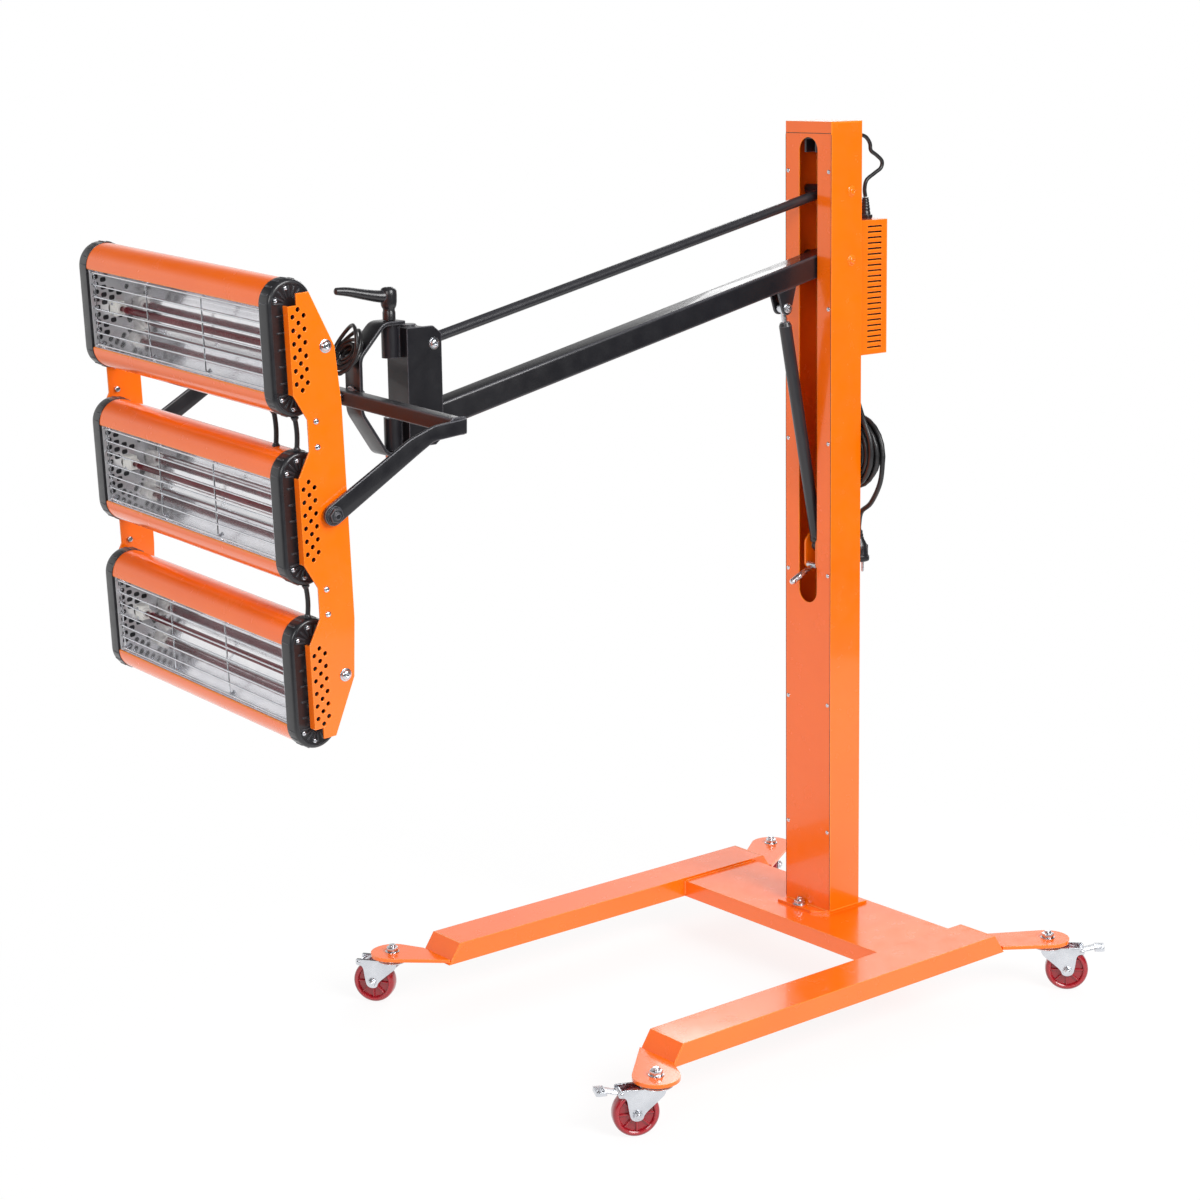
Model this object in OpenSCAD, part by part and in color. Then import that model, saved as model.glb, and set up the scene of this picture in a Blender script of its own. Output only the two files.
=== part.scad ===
// Infrared curing lamp on a wheeled stand, in millimetres.
// +X points from the column to the lamps, +Y to the side with the foot-brake castors, +Z up.
// The origin is on the floor, on the column's centre line.

/* [Base] */
// Height of the leg tubes' undersides above the floor
leg_z = 83; // [80:1:110]
// Width over both legs
base_w = 672; // [600:1:760]
// Width of a leg tube
leg_w = 80; // [60:1:90]
// Height of a leg tube
leg_h = 35; // [30:1:50]
// Wall of the leg tubes and of the cross box
leg_wall = 3; // [2:0.5:4]
// Reach of a leg's top face in front of the column's centre line
leg_front = 628; // [500:1:700]
// Reach of a leg's top face behind the column's centre line
leg_rear = 88; // [80:1:120]
// Run of the sloping end of a leg
leg_slope = 24; // [15:1:35]
// Thickness of the bent end plates
end_plate_t = 6; // [4:0.5:8]
// Front face of the cross box
box_front = 109; // [90:1:140]
// Rear face of the cross box, behind the column's centre line
box_rear = 69; // [60:1:80]
// How far the cross box lies below the leg tops
box_drop = 5; // [3:1:10]
// Thickness of the column's foot plate
foot_t = 5; // [4:1:8]

/* [Castors] */
// Distance of the front castor bolts in front of the column's centre line
castor_front = 706; // [690:1:730]
// Distance of the rear castor bolts behind the column's centre line
castor_rear = 207; // [190:1:230]
// Sideways distance of a castor bolt from the middle plane
castor_y = 357; // [345:1:375]
// Wheel diameter
wheel_d = 75; // [70:1:77]
// Wheel width
wheel_w = 24; // [18:1:28]
// Offset of the wheel axle from the swivel axis
castor_trail = 34; // [28:1:38]
// Diameter of the swivel bolt
stem_d = 12; // [10:1:14]
// Diameter of the wheel axle
axle_d = 8; // [6:1:10]
// Thickness of the fork's sheet metal
fork_t = 2.5; // [2:0.5:4]
// Reach of the brake pedal from the swivel axis
pedal_reach = 98; // [90:1:105]

/* [Column] */
// Column width
col_w = 112; // [100:1:130]
// Column depth
col_d = 74; // [66:1:90]
// Height of the column's top above the floor
col_top = 1525; // [1505:1:1600]
// Wall of the column channel
col_wall = 3; // [2:0.5:4]
// Thickness of the front cover and the cap
cover_t = 2; // [1.5:0.5:3]
// Width of the slot in the front cover
slot_w = 45; // [42:1:55]
// Height of the slot's lower end
slot_low = 680; // [620:1:700]
// Distance of the slot's upper end below the column's top
slot_head = 27; // [25:1:45]
// Height of the cap's front lip
cap_lip = 20; // [12:1:22]

/* [Arms] */
// Height of the boom's pivot in the column
boom_z = 1287; // [1270:1:1300]
// Height of the upper link's pivot above the boom's pivot
link_rise = 118.5; // [110:0.5:125]
// Distance of both pivots behind the column's centre line
pivot_back = 13; // [12:0.5:14]
// Boom length between its pivots
boom_len = 888.6; // [800:0.1:950]
// Angle of the boom below the horizontal at rest
boom_dip = 12.35; // [8:0.05:16]
// Outer size of the boom's square tube
boom_s = 40; // [36:1:40]
// Wall of the boom's tube
boom_wall = 3; // [2:0.5:4]
// Outer diameter of the upper link's tube
link_s = 17; // [14:1:18]
// Diameter of the pivot bolts
pivot_d = 12; // [10:1:14]

/* [Gas spring] */
// Place of the clevis pin along the boom
clevis_along = 125.2; // [110:0.1:140]
// Distance of the clevis pin below the boom's axis
clevis_drop = 52.4; // [45:0.1:60]
// Height of the lower pin
spring_low_z = 780; // [760:1:800]
// Distance of the lower pin in front of the column's centre line
spring_low_x = 13; // [8:1:16]
// Diameter of the cylinder
gas_d = 22; // [18:1:24]
// Diameter of the piston rod
rod_d = 10; // [8:1:12]
// Length of bare rod between the clevis eye and the cylinder
rod_bare = 26; // [24:1:40]

/* [Head carrier] */
// Distance from the boom's end pin to the vertical hinge
hinge_ahead = 63; // [60:1:70]
// Outer width of the carrier
carrier_w = 54; // [52:1:60]
// Thickness of the carrier's plates
carrier_t = 5; // [4:0.5:6]
// Diameter of the hinge pin
hinge_d = 16; // [12:1:18]
// Height of the roll bolt above the boom's end pin
roll_rise = 48; // [44:1:54]
// Width of the bow's flat bar
bow_w = 40; // [36:1:50]
// Thickness of the bow's flat bar
bow_t = 6; // [5:0.5:8]
// Distance from the hinge to the bow's front face
bow_reach = 70; // [64:1:80]
// Length of the clamp lever's arm
lever_len = 88; // [70:1:100]

/* [Yoke] */
// Outer size of the crossbar's square tube
bar_s = 22; // [20:1:25]
// Roll of the yoke at rest, near side down
yoke_roll = 2.62; // [0:0.01:5]
// Sideways offset of the lamp frame from the roll bolt
yoke_shift = 4.6; // [0:0.1:6]
// Distance of the tilt bolts in front of the crossbar's centre
yoke_reach = 214; // [200:1:230]
// Distance of the tilt bolts below the crossbar's centre
yoke_drop = 100.4; // [90:0.1:110]
// Thickness of the yoke's arms
yoke_t = 6; // [5:0.5:8]

/* [Lamp head] */
// Forward tilt of the lamp frame at rest
head_tilt = 3.53; // [0:0.01:6]
// Distance from one cassette to the next
cassette_pitch = 238; // [225:1:250]
// Length of a cassette's opening
open_len = 482; // [420:1:520]
// Height of a cassette's opening
open_h = 120; // [110:1:130]
// Radius of the housing's rounded lobes
lobe_r = 34; // [30:1:36]
// Wall of the housing
housing_t = 1.5; // [1:0.25:2.5]
// Length of an end cap along the cassette
cap_len = 24; // [20:1:30]
// Gap between an end cap and its side plate
plate_gap = 13.5; // [12:0.5:16]
// Thickness of the side plates
plate_t = 2.5; // [2:0.5:3]
// Distance of the tilt bolt behind the opening's plane
tilt_back = 67.5; // [60:0.5:75]
// Height of the tilt bolt above the middle cassette's centre
tilt_up = 3.7; // [0:0.1:8]
// Diameter of the quartz tube
quartz_d = 11; // [8:0.5:13]
// Diameter of the guard wires
guard_d = 2.4; // [2:0.2:3]
// Number of long guard wires
guard_rows = 7; // [5:1:9]
// Number of cross wires in a guard
guard_cols = 4; // [3:1:6]

/* [Control box] */
// Height of the control box's underside
ctrl_z = 1118; // [1100:1:1130]
// Height of the control box
ctrl_h = 235; // [200:1:250]
// Width of the control box
ctrl_w = 100; // [90:1:110]
// Depth of the control box
ctrl_d = 67; // [55:1:75]
// Wall of the control box
ctrl_wall = 2; // [1.5:0.5:3]
// Number of louvre slots in each side
vent_rows = 23; // [15:1:23]
// Diameter of the timer dial
dial_d = 40; // [30:1:46]

/* [Cables] */
// Diameter of the mains lead
cord_d = 9; // [8:0.5:10]
// Diameter of the lamp leads
lead_d = 7; // [5:0.5:8]
// Turns of the mains lead in each layer of its coil
coil_turns = 3; // [2:1:4]
// Layers of the mains lead's coil
coil_layers = 4; // [2:2:4]
// Radius of the coil's outermost turn
coil_r = 66; // [60:1:72]
// Radius of the lamp lead's outermost loop
hank_r = 26; // [22:1:30]

/* [Hidden] */
$fn = 48;

// Colours
orange = "#f26a21";
ruby = "#5a2030";
black_paint = "#26262b";
black_plastic = "#1c1c1f";
zinc = "#c9ccd2";
maroon = "#7d1522";

// Shared clearances and fastener sizes
eps = 0.5;
fit = 0.3;
run = 0.05;
over = 1;
washer_t = 1.5;
head_h = 5;
screw_d = 8;
nut_af = 19;
nut_h = 8;
bolt_af = 17;

// Base
base_top = leg_z + leg_h;
leg_y = (base_w - leg_w) / 2;
box_z = leg_z;
box_top = base_top - box_drop;
foot_reach = 21;
foot_hole_x = 11;
foot_hole_y = 10;
foot_taper = 40;
tongue_r = 38;
tongue_z = leg_z + leg_wall + over;
cover_plate_t = 3;

// Castors
wheel_r = wheel_d / 2;
crown_t = 3;
crown_r = 27;
crown_z = wheel_d + eps + over;
race_z = crown_z + crown_t;
race_r = 22;
fork_gap = wheel_w + 3;
fork_top = 34;
fork_foot_r = 11;
fork_back = 12;
ear_reach = 64;
ear_drop = 12;
pedal_pin = 59;
pedal_pin_drop = 7;
pedal_pin_d = 5;
pedal_w = 22;
pedal_t = 2.5;
pedal_tip = 16;
pedal_tip_h = 9;
hub_r = 16;
axle_nut_af = 13;
round_fn = 96;
tread_round = 3;
web_w = 14;
castor_angles = [-26, -56, 135, 228];
castor_places = [
    [castor_front, castor_y], [castor_front, -castor_y],
    [-castor_rear, castor_y], [-castor_rear, -castor_y]
];

// Column
col_x = col_d / 2;
col_y = col_w / 2;
col_z = box_top + foot_t;
slot_high = col_top - slot_head;
cover_x = col_x - cover_t;
cover_z = col_top - cap_lip;
flange = 18;
cover_screw_y = col_y - 6;
screw_rows = 6;
screw_edge = 65;
screw_foot = 147;
screw_pitch = (cover_z - col_z - screw_edge - screw_foot) / (screw_rows - 1);
cover_screw_zs = [for (k = [0:screw_rows - 1]) cover_z - screw_edge - k * screw_pitch];
harness_hole = [20, col_top - 28];
harness_hole_d = 14;
cover_screw_r = 3.5;
cover_screw_h = 1.5;
pivot_x = -pivot_back;
link_z = boom_z + link_rise;
sleeve_half = col_y - col_wall - eps;
sleeve_d = 26;
link_sleeve_d = 19;

// Arms
boom_end = [pivot_x + boom_len * cos(boom_dip), boom_z - boom_len * sin(boom_dip)];
link_end = [boom_end[0], boom_end[1] + link_rise];
boom_tail = 18;
link_tail = 12;
link_wall = 2;
carrier_in = carrier_w / 2 - carrier_t;
ear_t = 4;
ear_w = 30;
ear_r = 12;
clevis_pin_d = 8;

// Gas spring
clevis = [
    pivot_x + clevis_along * cos(boom_dip) - clevis_drop * sin(boom_dip),
    boom_z - clevis_along * sin(boom_dip) - clevis_drop * cos(boom_dip)
];
spring_low = [spring_low_x, spring_low_z];
spring_len = norm(clevis - spring_low);
spring_lean = atan2(clevis[0] - spring_low[0], clevis[1] - spring_low[1]);
eye_r = 9;
eye_w = 12;
clevis_in = eye_w / 2 + 2;
rod_stroke = 180;
rod_inside = rod_stroke + rod_bare;
piston_h = 10;
nose_d = 17;
gas_tip = 6;
gas_len = spring_len - rod_bare;
gas_wall = 2;

// Brackets inside the column
anchor_t = 4;
anchor_in = gas_d / 2 + over;
anchor_top = 22;
anchor_low = 48;
anchor_x = cover_x - 4;
lever_pin_x = 25;
lever_pin_z = spring_low_z - 34;
lever_dip = 25;
lever_arm = 60;
lever_w = 12;
lever_t = 5;
grip_d = 11;
grip_len = 24;
guide_z = slot_high - 26;
guide_w = 30;

// Head carrier
hinge_x = boom_end[0] + hinge_ahead;
roll_z = boom_end[1] + roll_rise;
carrier_back = boom_end[0] - 14;
carrier_front = hinge_x - hinge_d / 2 - 5;
carrier_low = boom_end[1] - 38;
carrier_high = link_end[1] + 27;
carrier_chamfer = [15, 12];
lid_x = boom_end[0] + 17;
lid_d = 26;
lid_h = 3;
knuckle_d = 26;
knuckle_lift = 4;
knuckle_h = 50;
knuckle_zs = [carrier_low - knuckle_lift, carrier_high + knuckle_lift - knuckle_h];
bow_top = carrier_high + 5;
bow_low = carrier_low - 5;
bow_x = hinge_x + bow_reach;
bow_round = 22;
lever_stem_h = 20;
lever_hub_d = 26;
lever_hub_h = 30;
lever_turn = 8;
lever_thick = 10;
lever_root_r = 11;
lever_tip_r = 6;
lever_cap_h = 6;
hinge_head_af = 24;
bow_drop = 48;
bow_foot = 26;

// Yoke, in the frame of the roll bolt
bar_x = bow_x + 4 + bar_s / 2;
roll_d = 14;
tilt_x = bar_x + yoke_reach;
tilt_d = 12;
plate_y = open_len / 2 + cap_len + plate_gap + plate_t;
arm_gap = 4;
arm_in = plate_y + arm_gap;
arm_out = arm_in + yoke_t;
arm_elbow = 46;
arm_w = 27;
arm_r = 15;
elbow_run = 40;
elbow_cut = 5;
roll_washer_d = 30;
tilt_washer_d = 22;

// Lamp head, in its own frame: u forward, v sideways, w up
cassette_rows = [1, 0, -1];
open_half = open_h / 2;
cap_y = open_len / 2;
cap_out = cap_y + cap_len;
cap_over = 2;
cap_wall = 3;
plate_front = 20;
plate_neck = 40;
plate_back = 96;
plate_end_back = 54;
wing_h = 61;
neck_run = 36;
plate_end = 77;
plate_top = cassette_pitch + plate_end;
plate_shoulder = cassette_pitch - 2;
plate_hip = 152;
plate_lean = 6;
roll_edge = 10;
vent_d = 7;
vent_pitch = 18.4;
vent_step = 8.85;
vent_first = 26.7;
vent_last = [5, 6, 5];
tie_d = 10;
tie_u = 2 * lobe_r + cap_over + tie_d / 2 + eps;
tie_w = cassette_pitch - 4;
pair_u = 53;
pair_w = cassette_pitch / 2;
pair_gap = 18;
pair_head_d = 9;
pair_nut_af = 8;
pair_nut_h = 4;
tie_head_d = 14;
stud_d = 12;
stud_u = 60;
stud_w = 40;
cap_core = lobe_r - 14;
refl_t = 1;
refl_inset = 4;
refl_back = 60;
refl_back_h = 18;
refl_mid = 50;
refl_mid_h = 34;
end_hole = [12, 6];
end_cols = 3;
end_rows = 7;
end_first = 13;
end_pitch = [15, 14.5];
end_rim = 6;
quartz_u = 40;
quartz_w = -4;
holder = [16, 20, 22];
quartz_len = open_len - 2 * (refl_t + holder[1]);
guard_u = 4;
guard_rim = 12;
guard_edge = 20;
guard_half = open_half - 4;
cap_screw_d = 5;

// Control box
ctrl_x = -col_x;
vent_h = 4;
vent_front = 21;
vent_back = 11;
vent_edge = 10;
vent_pitch_z = (ctrl_h - 2 * vent_edge - vent_h) / (vent_rows - 1);
ctrl_y = ctrl_w / 2;
ctrl_back = ctrl_x - ctrl_d;
dial_h = 14;
dial_share = 0.766;
dial_z = ctrl_z + dial_share * ctrl_h;
rocker_w = 22;
rocker_half = 9;
rocker_share = 0.404;
rocker_z = ctrl_z + rocker_share * ctrl_h;
rocker_pitch = ctrl_h / 8;
rocker_pin_d = 3;
rocker_nose = 4.5;
rocker_deep = 10;
dial_stem = 8;
gland_d = 20;
gland_h = 14;
gland_stem = 13;
relief_h = 37;
gland_x = ctrl_x - ctrl_d / 2;

// Mains lead: coil behind the column, feed from the gland and tail to the plug
coil_gap = 0.7;
coil_step = cord_d + coil_gap;
coil_x = ctrl_x - 8;
coil_y = 8;
coil_z = 942;
loop_rings = 24;
loop_sides = 6;
hook_d = 8;
hank_out = 9;
hank_up = 66;
hank_lean = 40;
hank_start = 200;
hank_turns = 2;
hook_reach = 58;
hook_up = 16;
hook_foot_d = 22;
hook_foot_t = 2;
cord_sides = 8;
cord_side = [1, 0.2, 0.1];
harness_side = [0.1, 1, 0.1];
plug_len = 52;
plug_w = 34;
plug_neck = 16;
plug_waist = 0.6;
plug_rim = 4;
pin_len = 19;
pin_d = 4.8;
pin_half = 9.5;
feed_route = [
    [-70.5, 0, 1103.4], [-70.5, 0, 1090], [-66, 8, 1062], [-54, 32, 1034],
    [-45, 54, 1006], [-45, 70, 974], [-45, 74, 951], [-45, 74, 942]
];
tail_route = [
    [-74.1, 74, 942], [-74.1, 74, 932], [-76, 66, 890], [-80, 40, 850], [-82, 14, 830], [-82, 8, 806], [-82, 8, 796]
];
harness_drop = harness_hole[1] - (ctrl_z + ctrl_h + relief_h + over);
harness_shape = [
    [0, 0, 0], [-23, 0, -0.02], [-43, 0, 0.01], [-55, 0, 0.12], [-57, 1, 0.25], [-69, 2, 0.32],
    [-83, 2, 0.42], [-82, 1, 0.54], [-67, 0, 0.62], [-49, -1, 0.73], [-45, -2, 0.87], [-47, -2, 1]
];
harness_route = [
    for (p = harness_shape) [-col_x + p[0], harness_hole[0] + p[1], harness_hole[1] - p[2] * harness_drop]
];
harness_low = [harness_route[len(harness_route) - 1][0], harness_route[len(harness_route) - 1][1]];

// Helpers

// Draws a side outline given in x and z, between two y planes
module side_slab(y0, y1) {
    translate([0, y1, 0]) rotate([90, 0, 0]) linear_extrude(y1 - y0) children();
}

// Draws an outline given in y and z, between two x planes
module front_slab(x0, x1) {
    translate([x0, 0, 0]) rotate([90, 0, 90]) linear_extrude(x1 - x0) children();
}

// Cylinder along +Y, centred on y = 0
module cross_rod(d, length) {
    translate([0, length / 2, 0]) rotate([90, 0, 0]) cylinder(d = d, h = length);
}

// Hexagon prism of a given width across the flats
module hexagon(af, h) {
    cylinder(d = af / cos(30), h = h, $fn = 6);
}

// Square tube along +X
module square_tube(s, wall, length) {
    translate([0, -s / 2, -s / 2]) difference() {
        cube([length, s, s]);
        translate([-over, wall, wall]) cube([length + 2 * over, s - 2 * wall, s - 2 * wall]);
    }
}

// Outline with a round end at each of two points, joined by straight sides
module link_plate(a, b, ra, rb) {
    along = b - a;
    gap = norm(along);
    lean = asin((ra - rb) / gap);
    turn = atan2(along[1], along[0]);
    up = turn + 90 - lean;
    down = turn - 90 + lean;
    union() {
        translate(a) circle(r = ra);
        translate(b) circle(r = rb);
        polygon([
            a + ra * [cos(up), sin(up)], b + rb * [cos(up), sin(up)],
            b + rb * [cos(down), sin(down)], a + ra * [cos(down), sin(down)]
        ]);
    }
}

// Outline of a flat bar of thickness t bent along the points of a path
function unit(v) = v / norm(v);
function left_of(v) = [-v[1], v[0]];
function path_dir(p, k) = unit(p[min(k + 1, len(p) - 1)] - p[min(k, len(p) - 2)]);
function mitre(p, k, d) =
    let (a = path_dir(p, max(k - 1, 0)), b = path_dir(p, k), m = unit(left_of(a) + left_of(b)))
    p[k] + m * d / (m * left_of(b));
module bent_bar(p, t) {
    last = len(p) - 1;
    polygon(concat([for (k = [0:last]) mitre(p, k, t / 2)], [for (k = [last:-1:0]) mitre(p, k, -t / 2)]));
}

// Point where a line from p touches a circle, on the left (side = 1) or right (side = -1)
function tangent(p, c, r, side) =
    let (to_c = c - p, gap = norm(to_c), a = atan2(to_c[1], to_c[0]) + side * asin(r / gap))
    let (reach = sqrt(gap * gap - r * r))
    p + reach * [cos(a), sin(a)];

// Smooth route through hand-chosen points, with a number of steps between each pair
function blend(a, b, c, d, t) = 0.5 * (2 * b + (c - a) * t + (2 * a - 5 * b + 4 * c - d) * t * t
    + (3 * b - a - 3 * c + d) * t * t * t);
function smooth(p, steps) = concat([
    for (k = [0:len(p) - 2], s = [0:steps - 1])
        blend(p[max(k - 1, 0)], p[k], p[k + 1], p[min(k + 2, len(p) - 1)], s / steps)
], [p[len(p) - 1]]);

// Tube swept along points, ring by ring; side is a direction that the route never runs along
function ring_dir(p, k) = unit(p[min(k + 1, len(p) - 1)] - p[max(k - 1, 0)]);
function ring(p, k, r, sides, side) =
    let (t = ring_dir(p, k), n = unit(cross(t, side)), b = cross(n, t))
    [for (s = [0:sides - 1]) p[k] + r * (n * cos(360 * s / sides) + b * sin(360 * s / sides))];
module tube(p, d, sides, side) {
    rings = len(p);
    points = [for (k = [0:rings - 1]) each ring(p, k, d / 2, sides, side)];
    walls = [for (k = [0:rings - 2], s = [0:sides - 1]) let (n = (s + 1) % sides) each [
        [k * sides + s, k * sides + n, (k + 1) * sides + n],
        [k * sides + s, (k + 1) * sides + n, (k + 1) * sides + s]
    ]];
    ends = [for (s = [1:sides - 2]) each [
        [0, s + 1, s], [(rings - 1) * sides, (rings - 1) * sides + s, (rings - 1) * sides + s + 1]
    ]];
    polyhedron(points, concat(walls, ends), convexity = 10);
}

// Piled loops about the X axis, spiralling in and out again and climbing one layer at each turn of the spiral
function coil_radius(s, turns, r, step) =
    let (layer = floor(s / turns), f = s - turns * layer)
    r - step * (layer % 2 == 0 ? f : turns - f);
function coil_climb(s, turns, layers, step) =
    let (near = min(max(round(s / turns), 1), layers - 1), f = (s - turns * near + 0.25) / 0.5)
    step * (near - 1 + min(max(f, 0), 1));
function coil_point(s, start, turns, layers, r, step) =
    let (a = start - 360 * s, q = coil_radius(s, turns, r, step))
    [-coil_climb(s, turns, layers, step), q * cos(a), q * sin(a)];
function coil_points(start, turns, layers, r, step, rings) = [
    for (k = [0:turns * layers * rings])
        coil_point(min(k / rings, turns * layers - 0.0001), start, turns, layers, r, step)
];
// Least gap of a coil to itself, measured between points that lie half a turn or more apart
function least_gap(p, rings, d) = min([
    for (a = [0:len(p) - 1], b = [a + rings / 2:1:len(p) - 1]) norm(p[a] - p[b])
]) - d;

// Base

module leg_outline() {
    polygon([
        [-leg_rear - leg_slope, leg_z], [-leg_rear, base_top], [leg_front, base_top],
        [leg_front + leg_slope, leg_z]
    ]);
}

module leg_core() {
    polygon([
        [-leg_rear - leg_slope - over, leg_z + leg_wall], [-leg_rear - leg_slope - over, base_top - leg_wall],
        [leg_front + leg_slope + over, base_top - leg_wall], [leg_front + leg_slope + over, leg_z + leg_wall]
    ]);
}

module side_legs() {
    color(orange) for (side = [-1, 1]) translate([0, side * leg_y, 0]) difference() {
        side_slab(-leg_w / 2, leg_w / 2) leg_outline();
        side_slab(-leg_w / 2 + leg_wall, leg_w / 2 - leg_wall) leg_core();
    }
}

// Bent end plate: a sloping cover over the leg's open end, running on as a flat tongue to the castor bolt
module end_plate(foot_x, bolt_x, dir) {
    slope = atan2(leg_h, leg_slope);
    shift = cover_plate_t / sin(slope);
    foot = [foot_x, leg_y];
    bolt = [bolt_x, castor_y];
    inner = [foot_x, leg_y - leg_w / 2];
    outer = [foot_x, leg_y + leg_w / 2];
    difference() {
        union() {
            side_slab(leg_y - leg_w / 2, leg_y + leg_w / 2) polygon([
                [foot_x + dir * eps / 2, leg_z], [foot_x + dir * (eps / 2 - leg_slope), base_top],
                [foot_x + dir * (shift - leg_slope), base_top], [foot_x + dir * shift, leg_z]
            ]);
            translate([0, 0, tongue_z]) linear_extrude(end_plate_t) union() {
                translate(bolt) circle(r = tongue_r);
                polygon([
                    inner + [dir * shift / 2, 0], tangent(inner + [dir * shift / 2, 0], bolt, tongue_r, -dir),
                    bolt, tangent(outer + [dir * shift / 2, 0], bolt, tongue_r, dir), outer + [dir * shift / 2, 0]
                ]);
            }
        }
        translate([bolt_x, castor_y, tongue_z - over]) cylinder(d = stem_d + 2 * run, h = end_plate_t + 2 * over);
    }
}

module leg_end_plates() {
    color(orange) for (side = [0, 1]) mirror([0, side, 0]) {
        end_plate(leg_front + leg_slope, castor_front, 1);
        end_plate(-leg_rear - leg_slope, -castor_rear, -1);
    }
}

module cross_box() {
    half = base_w / 2 - leg_w;
    color(orange) difference() {
        translate([-box_rear, -half, box_z]) cube([box_front + box_rear, 2 * half, box_top - box_z]);
        translate([-box_rear + leg_wall, -half - over, box_z + leg_wall])
            cube([box_front + box_rear - 2 * leg_wall, 2 * (half + over), box_top - box_z - 2 * leg_wall]);
        foot_bolt_places() translate([0, 0, box_top - 2 * leg_wall]) cylinder(d = screw_d + 2 * run, h = 3 * leg_wall);
    }
}

module foot_bolt_places() {
    for (side = [-1, 1]) translate([side * (col_x + foot_hole_x), -side * foot_hole_y, 0]) children();
}

// Foot plate with one lug in front of the column and one behind it
module foot_plate() {
    lug = [col_x + foot_reach, -col_y];
    color(orange) difference() {
        translate([0, 0, box_top]) linear_extrude(foot_t) polygon([
            [col_x, col_y], [-col_x, col_y], [-lug[0], -lug[1]], [-lug[0], -foot_taper], [-col_x, -col_y],
            [col_x, -col_y], lug, [lug[0], foot_taper - foot_hole_y]
        ]);
        foot_bolt_places() translate([0, 0, box_top - over]) cylinder(d = screw_d + 2 * run, h = foot_t + 2 * over);
    }
}

module base_bolts() {
    color(zinc) {
        foot_bolt_places() {
            translate([0, 0, box_top + foot_t]) hexagon(bolt_af, head_h);
            translate([0, 0, box_top - leg_wall - nut_h]) cylinder(d = screw_d, h = leg_wall + nut_h + foot_t + eps);
            translate([0, 0, box_top - leg_wall - nut_h + over]) hexagon(bolt_af, nut_h - over);
        }
        for (p = castor_places) translate(p) castor_stem();
    }
}

module castor_stem() {
    top = tongue_z + end_plate_t;
    union() {
        translate([0, 0, top]) cylinder(r = nut_af / 2 + 3, h = washer_t);
        translate([0, 0, top + washer_t]) hexagon(nut_af, nut_h);
        translate([0, 0, race_z + fit]) cylinder(r = race_r, h = tongue_z - race_z - fit);
        translate([0, 0, crown_z - crown_t]) cylinder(d = stem_d, h = top + nut_h + 2 * crown_t - crown_z + washer_t);
        translate([0, 0, crown_z - crown_t - fit]) cylinder(r = stem_d / 2 + head_h, h = crown_t);
    }
}

// Castors, drawn with the swivel axis at the origin and the wheel behind it along +X

module castor_at(k) {
    translate(castor_places[k]) rotate([0, 0, castor_angles[k]]) children();
}

module fork_cheek() {
    difference() {
        union() {
            polygon([
                [-fork_back, race_z], [ear_reach, race_z], [ear_reach, race_z - ear_drop],
                [castor_trail + fork_top / 2, race_z - ear_drop], [castor_trail + fork_foot_r, wheel_r],
                [castor_trail - fork_foot_r, wheel_r], [-fork_back, race_z - ear_drop]
            ]);
            translate([castor_trail, wheel_r]) circle(r = fork_foot_r);
        }
        translate([castor_trail, wheel_r]) circle(d = axle_d);
    }
}

module castor_fork(k) {
    out = fork_gap / 2 + fork_t;
    castor_at(k) color(zinc) {
        difference() {
            union() {
                translate([0, 0, crown_z]) cylinder(r = crown_r, h = crown_t);
                for (side = [-1, 1])
                    side_slab(min(side * out, side * fork_gap / 2), max(side * out, side * fork_gap / 2)) fork_cheek();
            }
            translate([0, 0, crown_z - over]) cylinder(d = stem_d + 2 * run, h = crown_t + 2 * over);
        }
        translate([castor_trail, 0, wheel_r]) {
            cross_rod(axle_d, 2 * out);
            for (side = [-1, 1]) translate([0, side * out, 0]) rotate([-90 * side, 0, 0]) hexagon(axle_nut_af, head_h);
        }
        for (side = [-1, 1]) translate([pedal_pin, side * (out + fork_gap / 2) / 2, race_z - pedal_pin_drop])
            cross_rod(pedal_pin_d, fork_t + over);
    }
}

module castor_wheel(k) {
    boss = fork_gap / 2 - fit;
    half = wheel_w / 2;
    castor_at(k) color(maroon) translate([castor_trail, 0, wheel_r]) rotate([90, 0, 0]) rotate_extrude($fn = round_fn)
        polygon([
            [axle_d / 2 + run, -boss], [hub_r - tread_round, -boss], [hub_r, -web_w / 2],
            [wheel_r - 3 * tread_round, -web_w / 2], [wheel_r - 2 * tread_round, -half],
            [wheel_r - tread_round / 2, -half], [wheel_r, -half + tread_round], [wheel_r, half - tread_round],
            [wheel_r - tread_round / 2, half], [wheel_r - 2 * tread_round, half],
            [wheel_r - 3 * tread_round, web_w / 2], [hub_r, web_w / 2], [hub_r - tread_round, boss],
            [axle_d / 2 + run, boss]
        ]);
}

module castor_pedal(k) {
    pin_z = race_z - pedal_pin_drop;
    top_z = leg_z - 2 * eps;
    castor_at(k) color(zinc) difference() {
        union() {
            side_slab(-pedal_w / 2, pedal_w / 2) union() {
                translate([pedal_pin, pin_z]) circle(r = pedal_pin_d);
                bent_bar([
                    [pedal_pin, pin_z], [pedal_pin + 2 * pedal_pin_d, pin_z + pedal_t / 2],
                    [pedal_reach - pedal_tip, top_z - pedal_tip_h / 2], [pedal_reach, top_z - pedal_tip_h / 2]
                ], pedal_t);
            }
            translate([pedal_reach - pedal_tip, -pedal_w / 2 - pedal_t, top_z - pedal_tip_h])
                cube([pedal_tip, pedal_w + 2 * pedal_t, pedal_tip_h]);
        }
        for (side = [-1, 1]) translate([pedal_pin, side * pedal_w / 2, pin_z]) cross_rod(pedal_pin_d + over, 2 * over);
    }
}

// Column

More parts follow.
